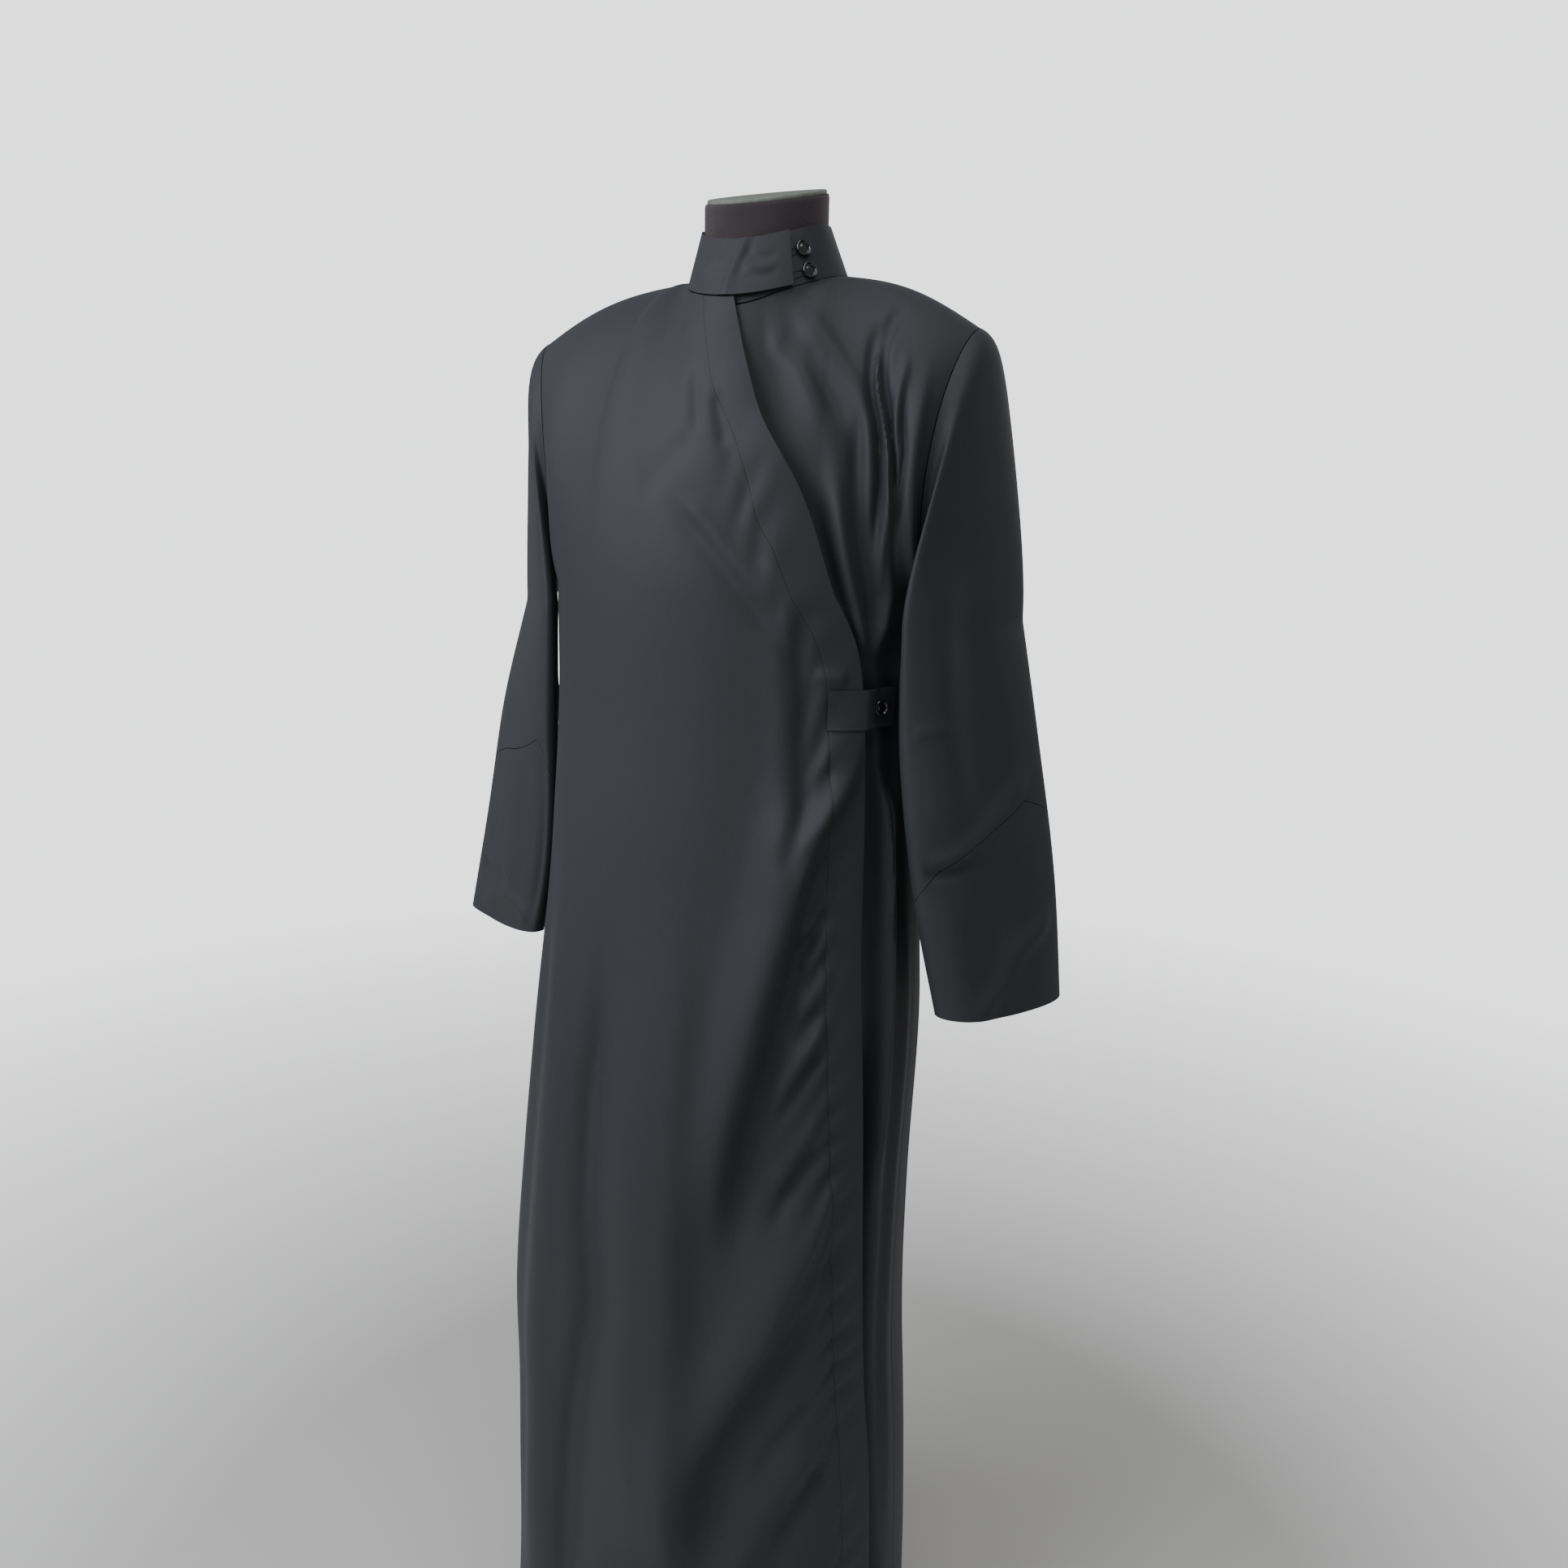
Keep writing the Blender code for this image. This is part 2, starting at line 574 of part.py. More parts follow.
def chevron_height(flank, turn):
    """The lower sleeve's seam peaks on the outer side and falls evenly round to the inner one."""
    away = abs((turn - CHEVRON_TURN[flank] + 180.0) % 360.0 - 180.0)
    return CHEVRON_APEX[flank] - CHEVRON_DROP * away / 180.0


def build_sleeve(flank, name, material):
    def upper(column, row):
        turn = 360.0 * column
        if row < CAP_SHARE:
            return sleeve_cap_point(flank, turn, row / CAP_SHARE)
        low = chevron_height(flank, turn) + SEAM_GAP
        share = (row - CAP_SHARE) / (1.0 - CAP_SHARE)
        return sleeve_ring_point(flank, turn, CAP_BASE + (low - CAP_BASE) * share)

    def upper_way(column, row):
        if row < CAP_SHARE:
            return facing(upper, column, row, True) * flank
        return sleeve_ring_facing(flank, 360.0 * column, upper(column, row).z)

    def lower(column, row):
        turn = 360.0 * column
        high = chevron_height(flank, turn) - 1.5 * SEAM_GAP
        low = CUFF_HEIGHT - CUFF_TILT * math.cos(math.radians(turn))
        return sleeve_ring_point(flank, turn, high + (low - high) * row)

    def lower_way(column, row):
        return sleeve_ring_facing(flank, 360.0 * column, lower(column, row).z)

    sheet(name + "_upper", upper, SLEEVE_SIDES, 12, CLOTH, material, closed=True, way=upper_way)
    sheet(name + "_lower", lower, SLEEVE_SIDES, 5, CLOTH, material, closed=True, way=lower_way)


def neckline_point(degrees):
    """A point of the neckline; 0 is the middle front and 90 the wearer's left side."""
    degrees = (degrees + 180.0) % 360.0 - 180.0
    flank = 1.0 if degrees > 0.0 else -1.0
    if abs(degrees) <= 90.0:
        return top_point(FRONT, degrees / 90.0 * NECK_SHARE)
    return top_point(BACK, flank * (180.0 - abs(degrees)) / 90.0 * NECK_SHARE)


def collar_height(degrees):
    front = max(0.0, math.cos(math.radians(degrees)))
    back = max(0.0, -math.cos(math.radians(degrees)))
    return (COLLAR_SIDE_HEIGHT + (COLLAR_FRONT_HEIGHT - COLLAR_SIDE_HEIGHT) * front
            + (COLLAR_BACK_HEIGHT - COLLAR_SIDE_HEIGHT) * back)


def collar_point(degrees, rise):
    """The stand collar; past LAP_START it moves out to lap over its own under end."""
    turn = math.radians(degrees)
    around = Vector((math.sin(turn), -math.cos(turn), 0.0))
    lapped = smooth((degrees - LAP_START) / LAP_RUN)
    seat = COLLAR_SEAT + NECK_LIFT * lapped
    base = neckline_point(degrees) + Vector((0.0, 0.0, seat))
    top = Vector((NECK_CENTRE_X + COLLAR_TOP_HALF_WIDTH * around.x,
                  COLLAR_TOP_DEPTH * around.y, base.z + collar_height(degrees)))
    return base.lerp(top, rise) + around * COLLAR_LAP * lapped


def build_collar(material):
    end = 360.0 + COLLAR_FLAP

    def place(column, row):
        return collar_point(COLLAR_START + (end - COLLAR_START) * column, row)

    sheet("collar", place, 46, 4, COLLAR_CLOTH, material)


def tab_lift(across):
    """The tab lies on the band and comes down to the left front past its edge."""
    on_band = OVERLAP_LIFT + BAND_CLOTH + SEAM_GAP * 3.0
    past = ramp(across - over_edge(TAB_LEVEL), TAB_COMES_DOWN)
    return on_band + (BAND_CLOTH + SEAM_GAP * 3.0 - on_band) * past


def tab_point(column, row):
    start = over_edge(TAB_LEVEL) - band_share(TAB_LEVEL)
    across = start + (TAB_END_ACROSS - start) * column
    return surface_point(FRONT, across, TAB_LEVEL + TAB_HEIGHT * (row - 0.5), tab_lift(across))


# ---------------------------------------------------------------- buttons
def build_button(name, seat, way, material):
    """A glossy shank button with a raised rim and a dished middle."""
    profile = [(0.0, BUTTON_DISH), (0.55, BUTTON_DISH), (0.76, BUTTON_RIM), (0.90, BUTTON_RIM),
               (1.0, BUTTON_DISH), (0.90, 0.2 * BUTTON_RIM), (0.55, 0.0), (0.0, 0.0)]
    mesh = bpy.data.meshes.new(name)
    corners = [(share * BUTTON_RADIUS, 0.0, height) for share, height in profile]
    mesh.from_pydata(corners, [(i, i + 1) for i in range(len(corners) - 1)], [])
    button = add_object(name, mesh, material, garment)
    turned = button.modifiers.new("turned", "SCREW")
    turned.steps = 22
    turned.render_steps = 22
    turned.use_merge_vertices = True
    turned.merge_threshold = 0.00001
    turned.use_smooth_shade = True
    button.location = seat + way * SEAM_GAP
    button.rotation_mode = "QUATERNION"
    button.rotation_quaternion = way.to_track_quat("Z", "Y")


def build_buttons(material):
    for button in COLLAR_BUTTONS:
        turn = math.radians(button.degrees)
        way = Vector((math.sin(turn), -math.cos(turn), COLLAR_BUTTON_TILT)).normalized()
        build_button(button.name, collar_point(button.degrees, button.rise), way, material)
    build_button("waist_button", tab_point(TAB_BUTTON_SHARE, 0.5),
                 facing(tab_point, TAB_BUTTON_SHARE, 0.5, False), material)


# ---------------------------------------------------------------- dress form and stand
def form_point(side, across, level):
    inset = read(FORM_ROWS, min(level, ARMPIT_HEIGHT), "inset")
    if level <= ARMPIT_HEIGHT:
        point = section_point(side, across, level, inset)
        point.x += read(FORM_ROWS, level, "centre_x") - read(SECTIONS, level, "centre_x")
        return point
    rise = (level - ARMPIT_HEIGHT) / UPPER_RUN
    on_shoulder = ramp(abs(across), FORM_SHOULDER_ACROSS) * ramp(rise, FORM_SHOULDER_RISE)
    near_top = inset + (FORM_NECK_INSET - inset) * smooth(rise)
    return body_point(side, across, level, near_top + (FORM_SHOULDER_INSET - near_top) * on_shoulder)


FORM_LEVELS = ([FORM_BOTTOM + (ARMPIT_HEIGHT - FORM_BOTTOM) * i / 8 for i in range(8)]
               + [row_level(i) for i in range(ARMPIT_ROW, BODY_ROWS)] + [TOP_LEVEL])


def build_form(material):
    """The torso is a closed loft of the garment's sections, drawn in, with the neck joined on."""
    columns = 2 * FORM_COLUMNS + 2

    def place(column, row):
        index = round(column * columns) % columns
        level = FORM_LEVELS[round(row * (len(FORM_LEVELS) - 1))]
        if index <= FORM_COLUMNS:
            return form_point(FRONT, 2.0 * index / FORM_COLUMNS - 1.0, level)
        return form_point(BACK, 1.0 - 2.0 * (index - FORM_COLUMNS - 1) / FORM_COLUMNS, level)

    mesh = grid_mesh("form_torso", place, columns, len(FORM_LEVELS) - 1)
    work = bmesh.new()
    work.from_mesh(mesh)
    bmesh.ops.dissolve_degenerate(work, edges=work.edges, dist=WELD)
    rims = [edge for edge in work.edges if edge.is_boundary]
    bmesh.ops.holes_fill(work, edges=rims)
    bmesh.ops.recalc_face_normals(work, faces=work.faces)
    work.to_mesh(mesh)
    work.free()
    torso = add_object("form_torso", mesh, material, garment)

    neck_bottom = NECK_FRONT_HEIGHT - FORM_NECK_DEPTH
    work = bmesh.new()
    bmesh.ops.create_cone(work, cap_ends=True, segments=40, radius1=FORM_NECK_RADIUS,
                          radius2=FORM_NECK_RADIUS, depth=1.0)
    slope = math.tan(math.radians(FORM_NECK_SLANT))
    for vertex in work.verts:
        is_top = vertex.co.z > 0.0
        top = FORM_NECK_FRONT_TOP + (vertex.co.y + FORM_NECK_RADIUS) * slope
        vertex.co.z = top if is_top else neck_bottom
        vertex.co.x += NECK_CENTRE_X
    mesh = bpy.data.meshes.new("form_neck_shape")
    work.to_mesh(mesh)
    work.free()
    neck = add_object("form_neck_shape", mesh, material, cutters)
    neck.hide_render = True
    neck.display_type = "WIRE"
    join = torso.modifiers.new("neck", "BOOLEAN")
    join.operation = "UNION"
    join.object = neck


def add_cylinder(name, radius, bottom, top, segments, material):
    bpy.ops.mesh.primitive_cylinder_add(vertices=segments, radius=radius, depth=top - bottom,
                                        location=(0.0, 0.0, (bottom + top) / 2.0))
    thing = bpy.context.active_object
    thing.name = name
    thing.data.materials.append(material)
    for owner in thing.users_collection:
        owner.objects.unlink(thing)
    garment.objects.link(thing)
    return thing


def build_neck_cap(material):
    slant = math.radians(FORM_NECK_SLANT)
    middle = FORM_NECK_FRONT_TOP + FORM_NECK_RADIUS * math.tan(slant)
    cap = add_cylinder("form_neck_cap", FORM_NECK_RADIUS - 0.001, 0.0, FORM_CAP_THICKNESS, 40,
                       material)
    away = Vector((0.0, -math.sin(slant), math.cos(slant)))
    cap.location = (Vector((NECK_CENTRE_X, 0.0, middle))
                    + away * (SEAM_GAP + FORM_CAP_THICKNESS / 2.0))
    cap.rotation_euler = (slant, 0.0, 0.0)
    cap.scale.y = 1.0 / math.cos(slant)


def build_stand(material):
    profile = [(0.0, BASE_THICKNESS), (0.90, BASE_THICKNESS), (0.97, 0.80 * BASE_THICKNESS),
               (1.0, 0.45 * BASE_THICKNESS), (1.0, 0.0), (0.0, 0.0)]
    mesh = bpy.data.meshes.new("stand_base")
    corners = [(share * BASE_RADIUS, 0.0, height) for share, height in profile]
    mesh.from_pydata(corners, [(i, i + 1) for i in range(len(corners) - 1)], [])
    base = add_object("stand_base", mesh, material, garment)
    turned = base.modifiers.new("turned", "SCREW")
    turned.steps = 48
    turned.render_steps = 48
    turned.use_merge_vertices = True
    turned.merge_threshold = 0.00001
    socket_bottom = FORM_BOTTOM - SEAM_GAP - SOCKET_LENGTH
    add_cylinder("stand_pole", POLE_RADIUS, BASE_THICKNESS + SEAM_GAP, socket_bottom - SEAM_GAP, 24,
                 material)
    add_cylinder("stand_socket", SOCKET_RADIUS, socket_bottom, FORM_BOTTOM - SEAM_GAP, 28, material)


# ---------------------------------------------------------------- the model
garment = bpy.data.collections.new("cassock_on_dress_form")
cutters = bpy.data.collections.new("cutters")
for group in (garment, cutters):
    bpy.context.scene.collection.children.link(group)

suiting = principled("black_suiting", (0.012, 0.015, 0.018), 0.55)
gloss = principled("black_button", (0.008, 0.008, 0.009), 0.12)
form_cloth = principled("form_cover", (0.020, 0.016, 0.018), 0.70)
cap_board = principled("neck_cap", (0.10, 0.11, 0.095), 0.60)
stand_metal = principled("stand_metal", (0.10, 0.10, 0.10), 0.35, 1.0)

build_front_right(suiting)
build_band("band_upright", 0, JOIN_ROW, 0.0, suiting)
build_band("band_diagonal", JOIN_ROW, BODY_ROWS, SEAM_GAP, suiting)
build_front_left(suiting)
build_back(suiting)
build_sleeve(RIGHT, "sleeve_right", suiting)
build_sleeve(LEFT, "sleeve_left", suiting)
build_collar(suiting)
sheet("waist_tab", tab_point, 8, 2, BAND_CLOTH, suiting)
build_buttons(gloss)
build_form(form_cloth)
build_neck_cap(cap_board)
build_stand(stand_metal)
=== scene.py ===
"""Looks of a black wrap cassock that hangs on a limbless dress form.

Metres, +Z up. The front faces -Y and the wearer's left is +X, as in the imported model.
"""
import math
from collections import namedtuple

import bmesh
import bpy
import numpy as np
from mathutils import Matrix, Vector


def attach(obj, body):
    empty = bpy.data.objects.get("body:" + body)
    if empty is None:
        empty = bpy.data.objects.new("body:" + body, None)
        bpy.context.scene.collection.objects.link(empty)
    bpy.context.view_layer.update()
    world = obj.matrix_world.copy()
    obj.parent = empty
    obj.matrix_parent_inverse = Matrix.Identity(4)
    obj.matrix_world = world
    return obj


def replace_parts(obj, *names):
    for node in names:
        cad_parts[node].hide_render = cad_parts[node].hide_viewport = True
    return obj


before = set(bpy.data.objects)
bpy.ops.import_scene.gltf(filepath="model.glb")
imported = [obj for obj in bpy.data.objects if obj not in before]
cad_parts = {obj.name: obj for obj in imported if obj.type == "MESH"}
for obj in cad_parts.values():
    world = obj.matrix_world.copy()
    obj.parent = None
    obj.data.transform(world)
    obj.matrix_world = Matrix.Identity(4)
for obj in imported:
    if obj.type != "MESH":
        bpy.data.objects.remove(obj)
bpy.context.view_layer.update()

# ---------------------------------------------------------------- camera
# It stands at armpit height on the wearer's left front, and looks a little down at the chest.
CAMERA_PLACE = (0.4954, -1.1759, 1.428)
CAMERA_TURN = math.radians(21.0)
CAMERA_FALL = math.radians(12.5)
CAMERA_ROLL = math.radians(1.1)
CAMERA_LENS = 27.95
SENSOR_WIDTH = 36.0

camera_data = bpy.data.cameras.new("camera")
camera_data.lens = CAMERA_LENS
camera_data.sensor_width = SENSOR_WIDTH
camera_data.clip_end = 60.0
camera = bpy.data.objects.new("camera", camera_data)
camera.matrix_world = (Matrix.Translation(CAMERA_PLACE)
                       @ Matrix.Rotation(CAMERA_TURN, 4, "Z")
                       @ Matrix.Rotation(math.pi / 2.0 - CAMERA_FALL, 4, "X")
                       @ Matrix.Rotation(CAMERA_ROLL, 4, "Z"))
bpy.context.scene.collection.objects.link(camera)
bpy.context.scene.camera = camera

# ---------------------------------------------------------------- right front
# The panel that wraps over the chest from the right side seam to the diagonal band. It is one
# layer of thin black suiting, cut in one piece from shoulder to hem, and hangs in long soft
# folds that the waist tab pulls toward the wearer's left.
CLOTH = 0.0012               # one wall of suiting, a little fuller than real cloth
SEAM_GAP = 0.0003            # between two pieces that are sewn together
QUARTER_GIRTH = 0.30         # cloth from the front's middle round to a side seam
SEAM_SHARE = 0.8 * SEAM_GAP / QUARTER_GIRTH
HEM_HEIGHT = 0.050
ARMPIT_HEIGHT = 1.355
UPPER_RUN = 0.240            # cloth from the armpit level up to the shoulder seam
TOP_LEVEL = ARMPIT_HEIGHT + UPPER_RUN
SHOULDER_CENTRE_X = -0.004
SHOULDER_HALF = 0.232
SHOULDER_HEIGHT = 1.601
SHOULDER_Y = 0.015
SHOULDER_CROWN = 0.011
NECK_CENTRE_X = 0.015
NECK_SHARE = 0.40
NECK_HALF_WIDTH = 0.078
NECK_FRONT_DEPTH = 0.085
NECK_BACK_DEPTH = 0.066
NECK_SIDE_HEIGHT = 1.653
NECK_FRONT_HEIGHT = 1.622
NECK_BACK_HEIGHT = 1.662
ARMHOLE_SPAN = 0.066
ARMHOLE_DIP = 0.012          # how far the armhole's sides lie in from its ends
RIGHT_DIP = 0.019            # and on the right, where the cloth falls in
ARMHOLE_POWER = 1.5
FRONT_RISE_POWER = 1.7
NECK_RISE_POWER = 1.5
FRONT, BACK = -1, 1
RIGHT, LEFT = -1, 1

# Ramps: where each begins along its own measure, and how far it runs.
Ramp = namedtuple("Ramp", "start run")
SHOULDER_BLEND = Ramp(0.12, 0.26)
ARMHOLE_BLEND = Ramp(0.40, 0.60)
LIFT_FROM_SIDE = Ramp(-0.98, 0.50)
NECK_LIFT_ROUND = Ramp(-0.66, 0.55)
FOLDS_FROM_SIDE = Ramp(-1.0, 0.15)
CURL_BEGINS = Ramp(1.38, 0.08)
CURL_ENDS = Ramp(-1.575, 0.06)

Section = namedtuple("Section", "height centre_x half_width front_depth back_depth square")
SECTIONS = [
    Section(0.00, -0.037, 0.243, 0.180, 0.198, 2.40),
    Section(0.20, -0.035, 0.236, 0.176, 0.193, 2.40),
    Section(0.40, -0.036, 0.231, 0.171, 0.186, 2.36),
    Section(0.52, -0.041, 0.228, 0.167, 0.180, 2.32),
    Section(0.70, -0.034, 0.221, 0.160, 0.171, 2.26),
    Section(0.90, -0.020, 0.214, 0.151, 0.162, 2.20),
    Section(1.10, -0.013, 0.204, 0.139, 0.147, 2.10),
    Section(1.23, -0.010, 0.200, 0.131, 0.136, 2.03),
    Section(ARMPIT_HEIGHT, -0.006, 0.203, 0.132, 0.134, 2.00),
]

# The right front's free edge: how far across the front it lies at each level of cloth.
EdgeRow = namedtuple("EdgeRow", "level across")
OVER_EDGE = [
    EdgeRow(0.00, 0.770),
    EdgeRow(0.45, 0.768),
    EdgeRow(0.70, 0.715),
    EdgeRow(0.95, 0.628),
    EdgeRow(1.25, 0.594),
    EdgeRow(1.31, 0.547),
    EdgeRow(1.38, 0.400),
    EdgeRow(1.43, 0.280),
    EdgeRow(1.50, 0.158),
    EdgeRow(TOP_LEVEL, 0.012),
]
# The left front's covered edge, under the right front.
UNDER_EDGE = [
    EdgeRow(0.00, -0.30),
    EdgeRow(0.90, -0.30),
    EdgeRow(ARMPIT_HEIGHT, -0.16),
    EdgeRow(TOP_LEVEL, -0.09),
]
BAND_TOP_WIDTH = 0.031
BAND_HEM_WIDTH = 0.041
OVERLAP_LIFT = 0.0050
NECK_LIFT = 0.0014
NECK_RUN = 0.09
EDGE_CURL = 0.0060
NECK_SINK = 0.0015           # how far the covered left front lies back at the neck
CHEST_SINK = 0.0075          # and from the chest down
SINK_ENDS = Ramp(-1.50, 0.12)
LEAST_OVERLAP = CLOTH + 0.0014
BACKED = Ramp(-0.10, 0.06)   # from the covered edge on, the left front backs it
UNBACKED_FLOOR = -0.008      # how far in the right front may fold where nothing backs it
CURL_REACH = 0.12
STEP = 0.004                 # between the two places that a slope is read from

# The main creases. Each is a path of (across, level) places from its top down. A ridge stands
# out by depth and a trough lies in; lean widens the flank on the wearer's left, or narrows it.
Crease = namedtuple("Crease", "half_width depth lean path")
CREASE_REACH = 3.0           # a crease is felt this many half widths away
CREASE_FADE = 0.25           # and dies away over this share of its run at each end
OVER_CREASES = [
    # pulls of the waist tab, down across the skirt, each with a trough under its steep side
    Crease(0.023, 0.0215, -0.45, [(0.620, 1.250), (0.585, 1.222), (0.540, 1.187), (0.475, 1.153),
                                  (0.415, 1.121), (0.368, 1.076), (0.335, 1.036), (0.302, 0.996),
                                  (0.268, 0.954), (0.243, 0.912), (0.216, 0.870), (0.192, 0.826),
                                  (0.175, 0.760), (0.165, 0.670)]),
    Crease(0.015, -0.0078, 0.0, [(0.530, 1.120), (0.468, 1.078), (0.415, 1.032), (0.375, 0.985),
                                 (0.340, 0.930), (0.305, 0.880), (0.272, 0.820), (0.250, 0.740),
                                 (0.235, 0.650)]),
    Crease(0.009, -0.0050, 0.0, [(0.520, 1.212), (0.460, 1.187), (0.415, 1.167), (0.374, 1.143),
                                 (0.345, 1.112), (0.325, 1.080)]),
    Crease(0.025, 0.0195, -0.45, [(0.640, 0.790), (0.590, 0.752), (0.505, 0.712), (0.445, 0.676),
                                  (0.390, 0.635), (0.333, 0.589), (0.263, 0.542), (0.178, 0.488),
                                  (0.110, 0.434), (0.075, 0.372), (0.060, 0.280)]),
    Crease(0.016, -0.0088, 0.0, [(0.600, 0.690), (0.530, 0.645), (0.460, 0.600), (0.400, 0.552),
                                 (0.330, 0.510), (0.250, 0.460), (0.182, 0.410), (0.145, 0.345),
                                 (0.130, 0.280)]),
    Crease(0.014, 0.0070, -0.20, [(0.590, 0.672), (0.540, 0.645), (0.480, 0.622), (0.415, 0.595),
                                  (0.360, 0.560)]),
    Crease(0.016, 0.0080, -0.20, [(0.595, 0.500), (0.480, 0.447), (0.360, 0.400), (0.265, 0.330),
                                  (0.210, 0.240)]),
    Crease(0.012, -0.0050, 0.0, [(0.600, 0.455), (0.500, 0.405), (0.400, 0.350), (0.300, 0.260)]),
    Crease(0.018, 0.0090, -0.20, [(0.590, 0.340), (0.480, 0.275), (0.380, 0.200), (0.310, 0.080)]),
    # long soft folds of the skirt
    Crease(0.034, 0.0160, -0.40, [(0.010, 1.080), (0.025, 0.930), (0.032, 0.809), (0.048, 0.700),
                                  (0.061, 0.600), (0.060, 0.460), (0.054, 0.300), (0.050, 0.000)]),
    Crease(0.020, -0.0130, 0.20, [(-0.240, 1.060), (-0.215, 0.910), (-0.215, 0.820),
                                  (-0.190, 0.690), (-0.150, 0.600), (-0.170, 0.520),
                                  (-0.220, 0.420), (-0.250, 0.280), (-0.270, 0.060)]),
    Crease(0.026, 0.0075, 0.0, [(-0.440, 1.180), (-0.430, 0.950), (-0.410, 0.780), (-0.400, 0.560),
                                (-0.430, 0.300), (-0.440, 0.040)]),
    Crease(0.028, -0.0070, 0.0, [(-0.640, 1.150), (-0.630, 0.900), (-0.610, 0.600),
                                 (-0.640, 0.100)]),
    Crease(0.030, 0.0070, 0.0, [(-0.820, 1.100), (-0.840, 0.700), (-0.820, 0.060)]),
    # the waist: a break line where the tab holds the cloth back
    Crease(0.016, 0.0065, -0.30, [(0.250, 1.390), (0.300, 1.336), (0.331, 1.260), (0.336, 1.190),
                                  (0.330, 1.130), (0.290, 1.050)]),
    Crease(0.013, -0.0044, 0.0, [(0.330, 1.340), (0.365, 1.252), (0.376, 1.182), (0.392, 1.110)]),
    Crease(0.007, 0.0029, 0.0, [(0.400, 1.283), (0.459, 1.279), (0.530, 1.277)]),
    # shallow pulls over the chest
    Crease(0.011, -0.0047, 0.0, [(-0.120, 1.440), (0.035, 1.401), (0.116, 1.375), (0.191, 1.350),
                                 (0.267, 1.321), (0.386, 1.281), (0.449, 1.268)]),
    Crease(0.010, 0.0029, 0.0, [(-0.060, 1.450), (0.060, 1.408), (0.170, 1.372), (0.280, 1.335)]),
    Crease(0.008, -0.0029, 0.0, [(-0.080, 1.452), (0.081, 1.414), (0.185, 1.385), (0.290, 1.360)]),
    Crease(0.012, -0.0023, 0.0, [(0.000, 1.490), (-0.101, 1.459), (-0.200, 1.425)]),
    Crease(0.006, -0.0021, 0.0, [(-0.066, 1.540), (-0.046, 1.520), (-0.010, 1.480)]),
    Crease(0.006, -0.0023, 0.0, [(0.020, 1.520), (0.050, 1.494), (0.084, 1.468)]),
    # short puckers that slant down from the band's stitching
    Crease(0.008, 0.0046, 0.0, [(0.500, 1.088), (0.442, 1.050), (0.395, 1.022)]),
    Crease(0.007, -0.0040, 0.0, [(0.500, 1.064), (0.445, 1.030), (0.395, 1.003)]),
    Crease(0.008, 0.0046, 0.0, [(0.500, 1.046), (0.450, 1.012), (0.395, 0.985)]),
    Crease(0.007, -0.0042, 0.0, [(0.500, 1.022), (0.452, 0.991), (0.390, 0.965)]),
    Crease(0.008, 0.0048, 0.0, [(0.500, 1.000), (0.450, 0.969), (0.370, 0.940)]),
    Crease(0.008, -0.0046, 0.0, [(0.500, 0.968), (0.445, 0.940), (0.375, 0.912)]),
    Crease(0.009, 0.0060, -0.10, [(0.505, 0.950), (0.440, 0.917), (0.370, 0.880), (0.310, 0.840)]),
    Crease(0.008, -0.0050, 0.0, [(0.510, 0.920), (0.440, 0.888), (0.370, 0.850), (0.320, 0.815)]),
    Crease(0.009, 0.0052, 0.0, [(0.510, 0.850), (0.450, 0.818), (0.390, 0.790), (0.340, 0.750)]),
    Crease(0.008, -0.0052, 0.0, [(0.515, 0.818), (0.450, 0.785), (0.395, 0.755), (0.350, 0.715)]),
    Crease(0.009, -0.0045, 0.0, [(0.580, 0.520), (0.484, 0.501), (0.386, 0.467), (0.290, 0.425)]),
    Crease(0.009, -0.0045, 0.0, [(0.585, 0.450), (0.526, 0.417), (0.463, 0.387), (0.360, 0.340)]),
]
# Close puckers where the band is sewn on.
PUCKER_PITCH = 0.043
PUCKER_DEPTH = 0.0032
PUCKER_REACH = 0.024
PUCKER_RISE = {"panel": 1.5, "band": 0.5}
PUCKER_RAMP = Ramp(-1.28, 0.10)
PUCKER_LEAST = 0.25          # what is left of them above the waist
PUCKER_WANDER = 0.35         # how far their spacing strays, as a share of the pitch
PUCKER_WANDER_RATE = 23.0
PUCKER_UNEVEN = 0.35         # and their depth, as a share of it
PUCKER_UNEVEN_RATE = 9.7
PUCKER_UNEVEN_START = 1.3
SEAM_GROOVE = 0.0007
SEAM_GROOVE_REACH = 0.0022


def smooth(value):
    value = np.clip(value, 0.0, 1.0)
    return value * value * (3.0 - 2.0 * value)


def ramp(value, kind):
    return smooth((value - kind.start) / kind.run)


def read(table, key, name):
    """Smooth values of one named column of a table, at places along its first column."""
    rows = sorted(table)
    keys = np.array([row[0] for row in rows])
    values = np.array([getattr(row, name) for row in rows])
    key = np.clip(key, keys[0], keys[-1])
    low = np.clip(np.searchsorted(keys, key, side="right") - 1, 0, len(keys) - 2)
    spans, rises = np.diff(keys), np.diff(values)
    slopes = rises / spans
    knots = np.concatenate((slopes[:1], (slopes[:-1] + slopes[1:]) / 2.0, slopes[-1:]))
    span, rise, start, end = spans[low], rises[low], knots[low], knots[low + 1]
    share = (key - keys[low]) / span
    bend = 3.0 * rise - span * (2.0 * start + end)
    twist = span * (start + end) - 2.0 * rise
    return values[low] + share * (span * start + share * (bend + share * twist))


def stacked(x, y, z):
    return np.stack(np.broadcast_arrays(x, y, z), axis=-1)


def flanks(across):
    return np.where(across > 0.0, 1.0, -1.0)


